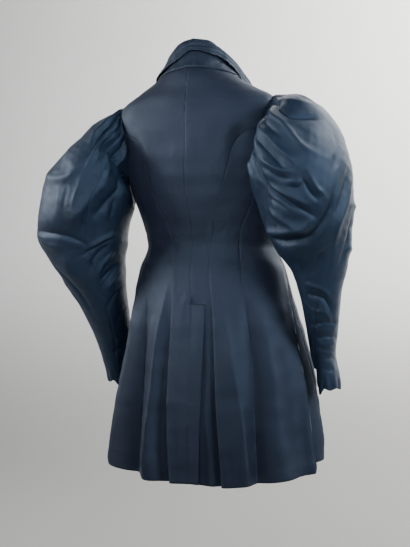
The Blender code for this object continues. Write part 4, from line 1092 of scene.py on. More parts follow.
# ------------------------------------------------------------ sleeves
# The same columns as the body's table. A place is an angle round the sleeve and a station.
SLEEVE_CREASES = {
    "left": [
        (0.0062, 0.0036, 0.0060, 1.16, 0.60, 0.12, 0.6, [(20, 0.012), (34, 0.045), (58, 0.085), (84, 0.17)]),
        (-0.0064, 0.0030, 0.0050, 1.16, 0.60, 0.12, 0.6, [(30, 0.012), (48, 0.050), (78, 0.105), (96, 0.235)]),
        (0.0072, 0.0034, 0.0060, 1.16, 0.60, 0.12, 0.6, [(40, 0.012), (62, 0.052), (90, 0.110), (101, 0.315)]),
        (-0.0068, 0.0028, 0.0048, 1.16, 0.60, 0.12, 0.6, [(50, 0.012), (76, 0.055), (98, 0.115), (110, 0.225)]),
        (0.0070, 0.0034, 0.0060, 1.16, 0.60, 0.12, 0.6, [(61, 0.012), (88, 0.052), (108, 0.115), (117, 0.245)]),
        (-0.0064, 0.0032, 0.0056, 1.16, 0.55, 0.12, 0.6, [(78, 0.012), (104, 0.055), (124, 0.115), (134, 0.24)]),
        (0.0044, 0.0036, 0.0060, 1.26, 0.40, 0.12, 0.6, [(96, 0.012), (120, 0.055), (138, 0.11), (150, 0.21)]),
        # the upper facet ends at a crest, glossy below
        (0.0070, 0.0160, 0.0120, 1.50, 0.20, 0.3, 0.3, [(88, 0.165), (84, 0.29), (58, 0.322), (20, 0.31)]),
        (0.0013, 0.0040, 0.0060, 1.40, 0.10, 0.45, 0.5, [(70, 0.325), (80, 0.375), (84, 0.44)]),
        (-0.0012, 0.0040, 0.0070, 1.40, 0.10, 0.45, 0.5, [(84, 0.31), (91, 0.37), (92, 0.45)]),
        (0.0024, 0.0034, 0.0048, 1.20, 0.10, 0.35, 0.5, [(95, 0.262), (102, 0.33), (103, 0.43)]),
        # the long crest down the back, and the elbow
        (0.0125, 0.0200, 0.0150, 1.35, 0.30, 0.35, 0.3, [(119, 0.048), (127, 0.16), (126, 0.278), (119, 0.38), (99, 0.487)]),
        (-0.0075, 0.0072, 0.0097, 1.36, 0.10, 0.4, 0.4, [(146, 0.14), (150, 0.26), (142, 0.36), (128, 0.45)]),
        (-0.0078, 0.0034, 0.0100, 1.16, 0.05, 0.35, 0.45, [(28, 0.490), (58, 0.493), (90, 0.500), (112, 0.517), (126, 0.545)]),
        (0.0030, 0.0070, 0.0090, 1.50, 0.05, 0.4, 0.5, [(40, 0.522), (70, 0.530), (100, 0.548)]),
        (-0.0057, 0.0036, 0.0048, 1.21, 0.10, 0.3, 0.4, [(157, 0.492), (130, 0.537), (102, 0.575)]),
        (0.0053, 0.0036, 0.0048, 1.21, 0.10, 0.3, 0.4, [(165, 0.470), (138, 0.515), (112, 0.552)]),
        (-0.0061, 0.0036, 0.0048, 1.21, 0.10, 0.3, 0.4, [(152, 0.52), (128, 0.573), (109, 0.642)]),
        (0.0053, 0.0036, 0.0048, 1.21, 0.10, 0.3, 0.4, [(162, 0.545), (138, 0.60), (116, 0.66)]),
        (-0.0053, 0.0036, 0.0048, 1.21, 0.10, 0.3, 0.4, [(173, 0.593), (142, 0.638), (119, 0.675)]),
        (0.0044, 0.0036, 0.0036, 1.26, 0.00, 0.4, 0.4, [(143, 0.323), (142, 0.388), (145, 0.44)]),
        (-0.0053, 0.0030, 0.0036, 1.26, 0.00, 0.4, 0.4, [(150, 0.318), (150, 0.388), (152, 0.43)]),
        (-0.0053, 0.0030, 0.0042, 1.26, 0.00, 0.3, 0.4, [(119, 0.40), (118, 0.445), (118, 0.49)]),
        (-0.0061, 0.0048, 0.0060, 1.36, 0.15, 0.3, 0.4, [(150, 0.05), (168, 0.15), (172, 0.245)]),
        (0.0053, 0.0048, 0.0060, 1.26, 0.15, 0.3, 0.4, [(160, 0.045), (182, 0.14), (184, 0.27)]),
        # forearm: slanting folds
        (-0.0030, 0.0026, 0.0050, 1.16, 0.10, 0.25, 0.6, [(176, 0.600), (150, 0.640), (122, 0.690), (100, 0.735)]),
        (0.0024, 0.0030, 0.0050, 1.20, 0.10, 0.3, 0.6, [(180, 0.632), (152, 0.668), (120, 0.712)]),
        (-0.0026, 0.0022, 0.0044, 1.16, 0.10, 0.25, 0.6, [(186, 0.680), (160, 0.704), (128, 0.752), (108, 0.800)]),
        (-0.0016, 0.0022, 0.0034, 1.20, 0.05, 0.3, 0.5, [(106, 0.700), (130, 0.738), (150, 0.782)]),
        (-0.0022, 0.0022, 0.0038, 1.16, 0.10, 0.25, 0.6, [(184, 0.765), (156, 0.785), (126, 0.828)]),
        (-0.0019, 0.0020, 0.0032, 1.16, 0.05, 0.3, 0.5, [(176, 0.836), (142, 0.850), (112, 0.880)]),
        (0.0012, 0.0024, 0.0036, 1.26, 0.05, 0.3, 0.4, [(108, 0.820), (126, 0.856), (140, 0.900)]),
        (-0.0018, 0.0020, 0.0030, 1.21, 0.05, 0.3, 0.4, [(102, 0.918), (128, 0.902), (160, 0.892)]),
        (0.0070, 0.0180, 0.0180, 1.60, 0.10, 0.4, 0.4, [(96, 0.545), (80, 0.60), (70, 0.66)]),
        (-0.0044, 0.0072, 0.0084, 1.46, 0.05, 0.4, 0.4, [(30, 0.55), (52, 0.62), (70, 0.70), (80, 0.80)]),
        (0.0030, 0.0060, 0.0072, 1.46, 0.00, 0.4, 0.4, [(10, 0.60), (34, 0.68), (50, 0.76)]),
        # hidden sides, in the same way
        (-0.0071, 0.0048, 0.0072, 1.26, 0.25, 0.3, 0.4, [(-36, 0.04), (-52, 0.12), (-56, 0.26)]),
        (0.0071, 0.0048, 0.0072, 1.26, 0.25, 0.3, 0.4, [(-22, 0.04), (-36, 0.13), (-38, 0.30)]),
        (0.0075, 0.0060, 0.0072, 1.26, 0.25, 0.3, 0.4, [(-58, 0.04), (-76, 0.13), (-80, 0.33)]),
        (-0.0071, 0.0048, 0.0072, 1.26, 0.25, 0.3, 0.4, [(-76, 0.05), (-96, 0.14), (-100, 0.28)]),
        (0.0090, 0.0140, 0.0140, 1.40, 0.30, 0.3, 0.4, [(-100, 0.10), (-112, 0.25), (-104, 0.40)]),
        (-0.0088, 0.0054, 0.0072, 1.21, 0.05, 0.3, 0.4, [(-30, 0.505), (-64, 0.50), (-100, 0.515), (-135, 0.54)]),
        (0.0061, 0.0048, 0.0060, 1.26, 0.05, 0.3, 0.4, [(-40, 0.535), (-80, 0.54), (-120, 0.565)]),
        (-0.0053, 0.0048, 0.0060, 1.26, 0.05, 0.3, 0.4, [(-80, 0.585), (-120, 0.60), (-150, 0.58)]),
        (0.0044, 0.0042, 0.0054, 1.26, 0.05, 0.3, 0.4, [(-60, 0.625), (-110, 0.645), (-150, 0.625)]),
        (-0.0044, 0.0036, 0.0048, 1.26, 0.05, 0.3, 0.4, [(-50, 0.68), (-100, 0.70), (-150, 0.67)]),
        (-0.0035, 0.0036, 0.0048, 1.26, 0.05, 0.3, 0.4, [(-50, 0.765), (-100, 0.785), (-150, 0.75)]),
        (-0.0027, 0.0030, 0.0042, 1.26, 0.05, 0.3, 0.4, [(-60, 0.85), (-100, 0.86), (-140, 0.835)]),
    ],
    "right": [
        # the band along the puff's back edge
        (0.0058, 0.0070, 0.0050, 1.30, 0.18, 0.2, 0.3, [(122, 0.03), (133, 0.12), (137, 0.25), (137, 0.355), (139, 0.505)]),
        # the top bulge and the creases under it
        (0.0060, 0.0160, 0.0180, 1.60, 0.50, 0.3, 0.5, [(30, 0.06), (34, 0.15), (16, 0.26)]),
        (-0.0040, 0.0046, 0.0070, 1.25, 0.30, 0.3, 0.5, [(22, 0.030), (26, 0.085), (14, 0.15), (-6, 0.19)]),
        (0.0030, 0.0046, 0.0070, 1.30, 0.30, 0.3, 0.5, [(38, 0.030), (44, 0.090), (36, 0.165), (16, 0.205)]),
        (-0.0079, 0.0043, 0.0068, 1.16, 0.30, 0.2, 0.3, [(48, 0.045), (56, 0.12), (57, 0.19), (44, 0.22), (27, 0.238)]),
        (0.0056, 0.0042, 0.0062, 1.18, 0.36, 0.3, 0.3, [(56, 0.055), (67, 0.16), (66, 0.283), (49, 0.335)]),
        (-0.0050, 0.0030, 0.0046, 1.16, 0.24, 0.35, 0.4, [(68, 0.085), (79, 0.17), (78, 0.27)]),
        (0.0056, 0.0036, 0.0060, 1.16, 0.30, 0.4, 0.3, [(76, 0.085), (88, 0.16), (87, 0.265), (76, 0.367)]),
        (-0.0062, 0.0036, 0.0066, 1.16, 0.20, 0.45, 0.3, [(96, 0.10), (100, 0.19), (97, 0.30), (88, 0.375)]),
        (0.0056, 0.0043, 0.0060, 1.21, 0.12, 0.4, 0.5, [(114, 0.262), (99, 0.340), (78, 0.376)]),
        (-0.0044, 0.0030, 0.0044, 1.21, 0.06, 0.5, 0.5, [(114, 0.315), (100, 0.372), (82, 0.395)]),
        (-0.0040, 0.0028, 0.0040, 1.20, 0.06, 0.5, 0.5, [(98, 0.405), (84, 0.420), (72, 0.392)]),
        (0.0026, 0.0034, 0.0040, 1.30, 0.06, 0.4, 0.5, [(92, 0.388), (82, 0.402), (76, 0.382)]),
        (-0.0053, 0.0031, 0.0037, 1.16, 0.06, 0.3, 0.35, [(76, 0.385), (71, 0.43), (62, 0.465)]),
        (0.0045, 0.0037, 0.0043, 1.16, 0.06, 0.3, 0.35, [(68, 0.375), (63, 0.42), (54, 0.45)]),
        # the long slanting crease and its crest
        (-0.0088, 0.0034, 0.0075, 1.13, 0.10, 0.12, 0.20, [(104, 0.045), (114, 0.12), (120, 0.22), (123, 0.33), (117, 0.400), (100, 0.455), (64, 0.520)]),
        (0.0060, 0.0070, 0.0046, 1.21, 0.06, 0.4, 0.4, [(122, 0.362), (110, 0.405), (96, 0.436), (66, 0.490)]),
        (-0.0030, 0.0037, 0.0050, 1.30, 0.06, 0.4, 0.5, [(124, 0.43), (110, 0.462), (90, 0.505)]),
        (0.0045, 0.0062, 0.0074, 1.36, 0.06, 0.3, 0.4, [(128, 0.47), (108, 0.52), (80, 0.56)]),
        # the puff's lower edge
        (-0.0130, 0.0050, 0.0120, 1.16, 0.00, 0.2, 0.4, [(152, 0.572), (120, 0.590), (84, 0.583), (60, 0.540), (44, 0.475), (36, 0.405)]),
        (0.0110, 0.0140, 0.0090, 1.40, 0.00, 0.2, 0.35, [(150, 0.545), (118, 0.555), (86, 0.548), (66, 0.505)]),
        (-0.0034, 0.0074, 0.0086, 1.46, 0.00, 0.4, 0.4, [(19, 0.255), (25, 0.305), (45, 0.39)]),
        (0.0045, 0.0074, 0.0086, 1.36, 0.00, 0.4, 0.4, [(3, 0.37), (19, 0.46), (37, 0.542), (45, 0.623)]),
        (-0.0045, 0.0050, 0.0074, 1.36, 0.00, 0.4, 0.4, [(14, 0.36), (30, 0.45), (46, 0.53)]),
        (-0.0042, 0.0050, 0.0068, 1.36, 0.00, 0.4, 0.4, [(4, 0.485), (14, 0.585), (38, 0.662)]),
        (0.0034, 0.0062, 0.0062, 1.36, 0.00, 0.4, 0.4, [(52, 0.585), (70, 0.615), (99, 0.652)]),
        (-0.0045, 0.0043, 0.0055, 1.26, 0.00, 0.4, 0.4, [(60, 0.605), (75, 0.638), (99, 0.678)]),
        # forearm
        (-0.0052, 0.0034, 0.0060, 1.16, 0.00, 0.3, 0.5, [(124, 0.735), (77, 0.752), (46, 0.810)]),
        (0.0034, 0.0037, 0.0050, 1.26, 0.00, 0.3, 0.4, [(122, 0.705), (80, 0.722), (48, 0.765)]),
        (0.0027, 0.0031, 0.0043, 1.26, 0.00, 0.3, 0.4, [(118, 0.79), (80, 0.79), (46, 0.835)]),
        (-0.0040, 0.0020, 0.0040, 1.16, 0.00, 0.25, 0.3, [(120, 0.832), (70, 0.824), (24, 0.827)]),
        (0.0023, 0.0024, 0.0031, 1.21, 0.00, 0.3, 0.3, [(112, 0.848), (66, 0.846), (26, 0.847)]),
        (-0.0038, 0.0019, 0.0036, 1.16, 0.00, 0.25, 0.3, [(112, 0.872), (64, 0.865), (14, 0.870)]),
        (-0.0030, 0.0018, 0.0034, 1.16, 0.00, 0.25, 0.4, [(106, 0.897), (56, 0.903), (20, 0.909)]),
        (0.0020, 0.0024, 0.0031, 1.21, 0.00, 0.3, 0.3, [(104, 0.884), (60, 0.886), (14, 0.888)]),
        (-0.0034, 0.0018, 0.0032, 1.16, 0.00, 0.35, 0.3, [(98, 0.925), (64, 0.924), (12, 0.929)]),
        (-0.0021, 0.0019, 0.0024, 1.21, 0.00, 0.3, 0.3, [(110, 0.948), (70, 0.951), (34, 0.953)]),
        (-0.0085, 0.0340, 0.0340, 2.00, 0.00, 0.3, 0.3, [(-4, 0.66), (-4, 0.80), (-4, 0.985)]),
        # outer edge's bumps
        (0.0045, 0.0074, 0.0086, 1.46, 0.00, 0.4, 0.4, [(-24, 0.480), (0, 0.468), (22, 0.478)]),
        (-0.0034, 0.0062, 0.0074, 1.46, 0.00, 0.4, 0.4, [(-24, 0.545), (0, 0.540), (20, 0.55)]),
        (0.0038, 0.0074, 0.0074, 1.46, 0.00, 0.4, 0.4, [(-24, 0.615), (0, 0.604), (22, 0.612)]),
        # hidden sides, in the same way
        (-0.0061, 0.0050, 0.0074, 1.26, 0.30, 0.3, 0.4, [(-20, 0.04), (-30, 0.13), (-24, 0.27)]),
        (0.0061, 0.0055, 0.0074, 1.26, 0.30, 0.3, 0.4, [(-36, 0.04), (-52, 0.13), (-50, 0.31)]),
        (-0.0068, 0.0050, 0.0074, 1.26, 0.30, 0.3, 0.4, [(-56, 0.05), (-74, 0.14), (-74, 0.29)]),
        (0.0064, 0.0055, 0.0074, 1.26, 0.30, 0.3, 0.4, [(-74, 0.05), (-94, 0.15), (-96, 0.34)]),
        (-0.0057, 0.0050, 0.0074, 1.26, 0.18, 0.3, 0.4, [(-96, 0.08), (-114, 0.18), (-116, 0.32)]),
        (-0.0076, 0.0055, 0.0074, 1.21, 0.06, 0.3, 0.4, [(-36, 0.435), (-70, 0.47), (-110, 0.53), (-140, 0.56)]),
        (0.0061, 0.0062, 0.0062, 1.26, 0.06, 0.3, 0.4, [(-40, 0.395), (-74, 0.43), (-114, 0.49)]),
        (-0.0083, 0.0055, 0.0074, 1.21, 0.00, 0.3, 0.3, [(-50, 0.575), (-90, 0.595), (-130, 0.60), (-165, 0.59)]),
        (0.0045, 0.0050, 0.0062, 1.26, 0.00, 0.3, 0.4, [(-40, 0.635), (-90, 0.645), (-140, 0.65)]),
        (-0.0038, 0.0043, 0.0055, 1.26, 0.00, 0.3, 0.4, [(-50, 0.70), (-100, 0.69), (-150, 0.72)]),
        (-0.0034, 0.0037, 0.0050, 1.26, 0.00, 0.3, 0.4, [(-40, 0.775), (-100, 0.76), (-150, 0.79)]),
        (-0.0024, 0.0024, 0.0037, 1.26, 0.00, 0.3, 0.4, [(-40, 0.86), (-90, 0.845), (-150, 0.865)]),
        (-0.0023, 0.0024, 0.0031, 1.26, 0.00, 0.3, 0.4, [(-50, 0.912), (-100, 0.905), (-150, 0.92)]),
    ],
}


def sleeve_place(side):
    def place(line):
        spots = sleeve(side, line[:, 0], line[:, 1])
        a = sleeve(side, line[:, 0] + 1.5, line[:, 1]) - sleeve(side, line[:, 0] - 1.5, line[:, 1])
        b = sleeve(side, line[:, 0], line[:, 1] + 0.006) - sleeve(side, line[:, 0], line[:, 1] - 0.006)
        up = np.cross(a, b)
        up /= np.maximum(np.linalg.norm(up, axis=-1, keepdims=True), 1e-9)
        middle = (sleeve(side, line[:, 0] + 180, line[:, 1]) + spots) / 2
        return spots, up * np.sign((up * (spots - middle)).sum(-1, keepdims=True) + 1e-9)

    return place


def gathers(side, psi, s):
    """Little uneven pleats round the head, fanning out from the armhole."""
    pick = np.random.default_rng(11 if side == "left" else 12)
    turned = (psi + 180) % 360 - 180
    out = 0 * psi
    at, last = (-104.0, 60.0) if side == "left" else (-96.0, 66.0)
    while at < last:
        wide = pick.uniform(2.4, 3.9)
        long = pick.uniform(0.05, 0.15) * (1.2 if abs(at) < 70 else 0.8)
        high = pick.uniform(0.0014, 0.0030) if side == "left" else pick.uniform(0.0016, 0.0034)
        fan = 330.0 if side == "left" else 60.0
        drift = fan * (ease((at + 12) / 34) - ease((-at - 12) / 34)) + pick.uniform(-25, 25)
        middle = at + drift * s * (1 - 1.2 * s)
        x = (turned - middle) / wide
        shape = np.exp(-np.abs(x) ** 1.5) - 0.75 * np.exp(-np.abs(x - 1.45) ** 1.7)
        out = out + high * shape * ease(s / 0.010) * (1 - ease(s / long)) ** 1.2
        at += wide * pick.uniform(2.3, 3.4)
    return out


def make_sleeve(side):
    s = np.concatenate([np.array([0, 0.002, 0.005, 0.009, 0.014]), np.linspace(0.0175, 0.9955, 226), [1.0]])
    start, end = SLEEVE_FRONT_SEAM - 360, SLEEVE_BACK_SEAM
    top = np.concatenate([start + np.array([0, 0.6, 1.4, 2.6]), np.linspace(start + 4.2, end - 4.2, 164), end - np.array([2.6, 1.4, 0.6, 0])])
    under = np.concatenate([end + np.array([0, 0.6, 1.4, 2.6]), np.linspace(end + 4.2, start + 360 - 4.2, 62), start + 360 - np.array([2.6, 1.4, 0.6, 0])])
    whole = np.concatenate([top, under[1:]])
    S, P = np.meshgrid(s, whole, indexing="ij")
    base = sleeve(side, P, S)
    middle = base[:, :-1].mean(1, keepdims=True)
    normal = normals_of(base, base - middle)
    out = creases(base, normal, SLEEVE_CREASES[side], sleeve_place(side))
    out = out + gathers(side, P, S)
    full = ease(S / 0.05) * (1 - 0.45 * ease((S - 0.6) / 0.15))
    out = out + full * (0.0003 * ripple(base, 0.022, 21) + 0.0010 * ripple(base, 0.070, 22))
    # seams
    for at in (start, end, start + 360):
        radius = np.linalg.norm(base - middle, axis=-1)
        d = np.radians(np.abs(P - at)) * radius
        out = out - 0.0005 * np.exp(-((d / 0.0015) ** 2)) + 0.0002 * np.exp(-(((d - 0.006) / 0.004) ** 2))
        out = out + puckers(base, d, 51)
    # the cuff's edge is a little frilled
    out = out + 0.0016 * np.sin(np.radians(P) * 9 + (0.4 if side == "left" else 1.3)) * ease((S - 0.95) / 0.05)
    out = out * ease(S / 0.012)
    # its corners at the slit curl outwards and hang lower
    beside = np.exp(-((((P - end + 180) % 360 - 180) / 26.0) ** 2)) * ease((S - 0.90) / 0.10)
    out = out + 0.0050 * beside
    # it stays off the body
    grid = base + out[..., None] * normal
    down = base[-1:] - base[-12:-11]
    down = down / np.linalg.norm(down, axis=-1, keepdims=True)
    corner = np.exp(-((((P - end + 180) % 360 - 180) / 13.0) ** 2)) * ease((S - 0.90) / 0.10)
    hem = 0.0085 * corner + 0.0026 * np.sin(np.radians(P) * 6 + 0.8) * ease((S - 0.93) / 0.07)
    grid = grid + hem[..., None] * down
    grid = off_the_body(grid, S)
    n = len(top)
    first, second = grid[:, :n], grid[:, n - 1 :]
    # the slit at the wrist
    open_ = 0.0050 * ease((s - CUFF_SLIT) / (1 - CUFF_SLIT))[:, None]
    for part, column, inner in ((first, n - 1, n - 2), (second, 0, 1)):
        step = part[:, inner] - part[:, column]
        step = step / np.linalg.norm(step, axis=-1, keepdims=True)
        part[:, column] = part[:, column] + open_ * step
    shell("sleeve_top_%s_cloth" % side, first.copy(), normal[:, :n], (), "sleeve_cloth", ["sleeve_top_" + side])
    shell("sleeve_under_%s_cloth" % side, second.copy(), normal[:, n - 1 :], (), "sleeve_cloth", ["sleeve_under_" + side])


def off_the_body(points, s):
    z = points[..., 2]
    depth, middle = (BACK(z) - FRONT(z)) / 2, (BACK(z) + FRONT(z)) / 2
    n = SQUARE(z)
    dx, dy = points[..., 0] - SHIFT(z), points[..., 1] - middle
    r = np.maximum(np.hypot(dx, dy), 1e-6)
    wall = (np.abs(dx / r / HALF(z)) ** n + np.abs(dy / r / depth) ** n) ** (-1 / n)
    clear = (0.0045 + 0.012 * grow(z, -0.40)) * np.clip(s / 0.06, 0, 1)
    wide = np.where(r < wall + clear, (wall + clear) / r, 1.0)
    return np.stack([SHIFT(z) + dx * wide, middle + dy * wide, z], -1)


# ------------------------------------------------------------ collar and lapels
def make_collar():
    count = 121
    foot, roll, edge = collar_lines(count)
    v = np.linspace(0, 1, 15)[:, None, None]
    stand = foot[None] * (1 - v) + roll[None] * v
    level = roll - np.array([0.0, -0.020, 0.0])
    level[:, 2] = 0
    level /= np.linalg.norm(level, axis=-1, keepdims=True)
    away = np.broadcast_to(level, stand.shape)
    stand = stand + (0.0006 * ripple(stand, 0.03, 61) + 0.0005 * ripple(stand, 0.012, 62))[..., None] * away
    shell("collar_stand_cloth", stand, away, (), "collar_cloth", ["collar_stand"])
    # The fall: it turns over the roll line, widest at the centre back, and lies close to what is under it.
    angles, heights = np.meshgrid(np.linspace(-130, 130, 131), np.linspace(0.012, -0.06, 37))
    under = np.concatenate([stand.reshape(-1, 3), body(angles, heights).reshape(-1, 3)])
    close = np.linalg.norm(edge[:, None, :] - under[None], axis=-1).argmin(1)
    off = edge - under[close]
    far = np.linalg.norm(off, axis=-1, keepdims=True)
    edge = under[close] + off * (0.0036 / np.maximum(far, 0.0036))
    first = roll + 0.0030 * level + np.array([0, 0, 0.0012])
    rows = []
    a = np.abs(np.linspace(-1, 1, count))[:, None]
    lip = (1 - 0.75 * ease((a - 0.8) / 0.2))
    for t in np.linspace(-0.9, 0.0, 5)[:-1]:
        angle = t * math.pi / 2
        rows.append(first + lip * (0.0042 * (1 - math.cos(angle)) * -level + 0.0042 * math.sin(-angle) * -level * 0.4 + np.array([0, 0, -0.0030 * (t * t)])))
    for w in np.linspace(0, 1, 19):
        bulge = 0.0042 * math.sin(math.pi * w**0.7)
        rows.append(first * (1 - w) + edge * w + bulge * (0.8 * level + np.array([0, 0, 0.6])))
    fall = np.stack(rows)
    away = np.broadcast_to(level * 0.8 + np.array([0, 0, 0.6]), fall.shape)
    x = fall[..., 0]
    share = np.linspace(0, 1, len(rows))[:, None]
    # folds that run from the roll line out to the sides
    lift = 0.0
    for high, wide, at, slope in (
        (-0.0024, 0.07, 0.40, 0.5),
        (0.0022, 0.06, 0.56, 0.42),
        (-0.0020, 0.06, 0.70, 0.34),
        (0.0016, 0.05, 0.84, 0.24),
    ):
        middle = at - slope * np.clip(-x / 0.11, -0.4, 1.0) * 0.6
        lift = lift + high * np.exp(-(((share - middle) / wide) ** 2)) * ease((0.055 - x) / 0.09)
    lift = lift + 0.0010 * ripple(fall, 0.03, 63) + 0.0012 * ripple(fall, 0.07, 64)
    lift = lift - 0.0006 * np.exp(-(((1 - share) * 0.045 - 0.006) / 0.0012) ** 2)
    fall = fall + lift[..., None] * away
    shell("collar_fall_cloth", fall, away, (), "collar_cloth", ["collar_fall"])


def make_lapel(side):
    ends = ROLL_FRONT + [(180.0 + float(lap(BREAK_Z)), BREAK_Z)]
    t = [0.0, 0.20, 0.55, 0.84, 1.0]
    phi_in = Smooth(list(zip(t, [e[0] for e in ends])))
    z_in = Smooth(list(zip(t, [e[1] for e in ends])))
    t = [0.0, 0.33, 0.72, 1.0]
    phi_out = Smooth(list(zip(t, [e[0] for e in LAPEL_EDGE])))
    z_out = Smooth(list(zip(t, [e[1] for e in LAPEL_EDGE])))
    v = np.linspace(0, 1, 49)
    inner = np.stack([phi_in(0.20 + 0.66 * v), z_in(0.20 + 0.66 * v)], -1)
    outer = np.stack([phi_out(v), z_out(v)], -1)
    u = np.linspace(0, 1, 19)[None, :, None]
    places = inner[:, None] * (1 - u) + outer[:, None] * u
    swell = 0.0024 * np.sin(np.pi * u[..., 0] ** 0.6) * np.ones(len(v))[:, None]
    lift = LAPEL_LIFT + swell
    grid = place_on_body(side, places, lift)
    sign = 1.0 if side == "left" else -1.0
    normal = outward(sign * places[..., 0] + TURN_AT(places[..., 1]), places[..., 1])
    grid = grid + (0.0006 * ripple(grid, 0.03, 65) - 0.0005 * np.exp(-(((1 - u[..., 0]) * 0.05 - 0.005) / 0.0012) ** 2))[..., None] * normal
    shell("lapel_%s_cloth" % side, grid, normal, (), "collar_cloth", ["lapel_" + side])


# ------------------------------------------------------------ buttons and buttonholes
def make_button(count):
    low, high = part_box("button_%d" % count)
    z = BUTTON_Z[count - 1]
    turn = float(TURN_AT(z))
    normal = outward(np.array(180.0 + turn), np.array(z))
    at = place_on_body("right", np.array([[180.0, z]]), np.array([LAP_LIFT + CLOTH / 2]))[0]
    middle = (np.array(low) + np.array(high)) / 2
    base = middle - normal * (BUTTON_HEIGHT / 2)
    profile = [
        (0.0030, -0.0022), (0.0032, -0.0004), (0.0068, 0.0000), (0.0082, 0.0005), (0.0086, 0.0013),
        (0.0083, 0.0021), (0.0074, 0.0033), (0.0060, 0.0042), (0.0042, 0.0049), (0.0022, 0.0053), (0.0008, 0.0054),
    ]  # fmt: skip
    side = np.cross(normal, (0, 0, 1.0))
    side /= np.linalg.norm(side)
    top = np.cross(side, normal)
    segments = 48
    points, faces = [], []
    for k, (r, h) in enumerate(profile):
        for j in range(segments):
            a = 2 * math.pi * j / segments
            crimp = 1 + (0.018 * math.sin(9 * a + count) if 2 <= k <= 5 else 0.0)
            points.append(base + normal * h + r * crimp * (math.cos(a) * side + math.sin(a) * top))
    for k in range(len(profile) - 1):
        for j in range(segments):
            n = (j + 1) % segments
            faces.append((k * segments + j, k * segments + n, (k + 1) * segments + n, (k + 1) * segments + j))
    faces.append(tuple((len(profile) - 1) * segments + j for j in range(segments)))
    faces.append(tuple(range(segments - 1, -1, -1)))
    name = "button_%d_covered" % count
    mesh = bpy.data.meshes.new(name)
    mesh.from_pydata([tuple(map(float, p)) for p in points], [], faces)
    layer = mesh.uv_layers.new(name="cloth")
    for loop in mesh.loops:
        p = points[loop.vertex_index] - base
        layer.data[loop.index].uv = (float(p @ side), float(p @ top))
    mesh.shade_smooth()
    made = bpy.data.objects.new(name, mesh)
    COLLECTION.objects.link(made)
    made.data.materials.append(CLOTHS["button_cloth"])
    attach(made, "root")
    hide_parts("button_%d" % count)
    # the worked buttonhole behind it
    phi = np.linspace(178.5, 187.0, 24)
    for k, dz in enumerate((-0.0011, 0.0011)):
        places = np.stack([phi, z + dz + 0 * phi], -1)
        up = outward(-phi + TURN_AT(places[:, 1]), places[:, 1])
        line = place_on_body("right", places, LAP_LIFT + SHELL / 2 + 0 * phi + 0.0002)
        line = line + 0.0007 * ripple(line, 0.055, 5)[:, None] * up + 0.0009 * ripple(line, 0.12, 6)[:, None] * up
        stitches("buttonhole_%d_%d" % (count, k + 1), line, up, 0.0012, 0.0003, 0.0004)


# ------------------------------------------------------------ all of it
made_left, back_grid, back_normal, back_places = make_back("left")
make_back("right")
for side in ("left", "right"):
    make_side_back(side)
    make_underarm(side)
    make_front(side)
    make_sleeve(side)
    make_lapel(side)
make_collar()
for count in range(1, 5):
    make_button(count)


def on_back_left(angles, heights, lift):
    """A line on the finished wearer's left back, for its stitches. Angles are counted from the middle of the back."""
    phi = np.asarray(angles, float) - TURN_AT(heights)
    places = np.stack([phi, np.asarray(heights, float)], -1)
    up = outward(np.asarray(angles, float), np.asarray(heights, float))
    lap_phi = ease(1 - (phi - 10.0) / 8.0)
    line = place_on_body("left", places, LAP_LIFT * lap_phi)
    lift_all = creases(line, up, BODY_CREASES, body_place) + 0.0007 * ripple(line, 0.055, 5)
    lift_all = lift_all + 0.0009 * ripple(line, 0.12, 6) + 0.0016 * ripple(line * (1, 1, 0.25), 0.05, 8) * grow(places[:, 1], -0.40)
    return line + (lift_all + SHELL / 2 + lift)[:, None] * up, up


for name, start, end, height in (
    ("vent_bar_upper", -10.5, 7.0, -0.4735),
    ("vent_bar_lower", -10.5, 7.0, -0.4765),
    ("vent_mark_low", -8.0, 2.0, -0.758),
):
    angles = np.linspace(start, end, 40)
    line, up = on_back_left(angles, np.full(40, height), 0.0001)
    stitches(name, line, up)

# ------------------------------------------------------------ floor, backdrop, light, camera
def plain(name, colour, rough):
    made = bpy.data.materials.new(name)
    made.use_nodes = True
    shader = made.node_tree.nodes["Principled BSDF"]
    noise = made.node_tree.nodes.new("ShaderNodeTexNoise")
    noise.inputs["Scale"].default_value = 1.2
    mix = made.node_tree.nodes.new("ShaderNodeMix")
    mix.data_type = "RGBA"
    mix.inputs["A"].default_value = (*colour, 1)
    mix.inputs["B"].default_value = (*[c * 0.97 for c in colour], 1)
    made.node_tree.links.new(noise.outputs["Fac"], mix.inputs["Factor"])
    made.node_tree.links.new(mix.outputs["Result"], shader.inputs["Base Color"])
    shader.inputs["Roughness"].default_value = rough
    return made


FLOOR_Z = -1.40
view_way = np.array([math.sin(math.radians(20)), -math.cos(math.radians(20)), 0.0])
across_way = np.array([math.cos(math.radians(20)), math.sin(math.radians(20)), 0.0])
profile = [(-5.0, FLOOR_Z), (2.1, FLOOR_Z)]
for k in range(1, 17):
    a = math.pi / 2 * k / 16
    profile.append((2.1 + 1.5 * math.sin(a), FLOOR_Z + 1.5 * (1 - math.cos(a))))
profile.append((3.6, 5.0))
points, faces = [], []
for d, h in profile:
    for w in (-8.0, 8.0):
        p = view_way * d + across_way * w
        points.append((float(p[0]), float(p[1]), float(h)))
for k in range(len(profile) - 1):
    faces.append((2 * k, 2 * k + 1, 2 * k + 3, 2 * k + 2))
mesh = bpy.data.meshes.new("backdrop")
mesh.from_pydata(points, [], faces)
mesh.shade_smooth()
backdrop = bpy.data.objects.new("backdrop", mesh)
bpy.context.scene.collection.objects.link(backdrop)
backdrop_look = plain("backdrop_look", (0.74, 0.735, 0.72), 0.9)
# The backdrop's colour is painted darker towards the floor: painted shade, standing in for the light falling off low
# down.
tree = backdrop_look.node_tree
where, split, ramp, soft = (tree.nodes.new(kind) for kind in ("ShaderNodeTexCoord", "ShaderNodeSeparateXYZ", "ShaderNodeMapRange", "ShaderNodeMix"))
tree.links.new(where.outputs["Object"], split.inputs["Vector"])
tree.links.new(split.outputs["Z"], ramp.inputs["Value"])
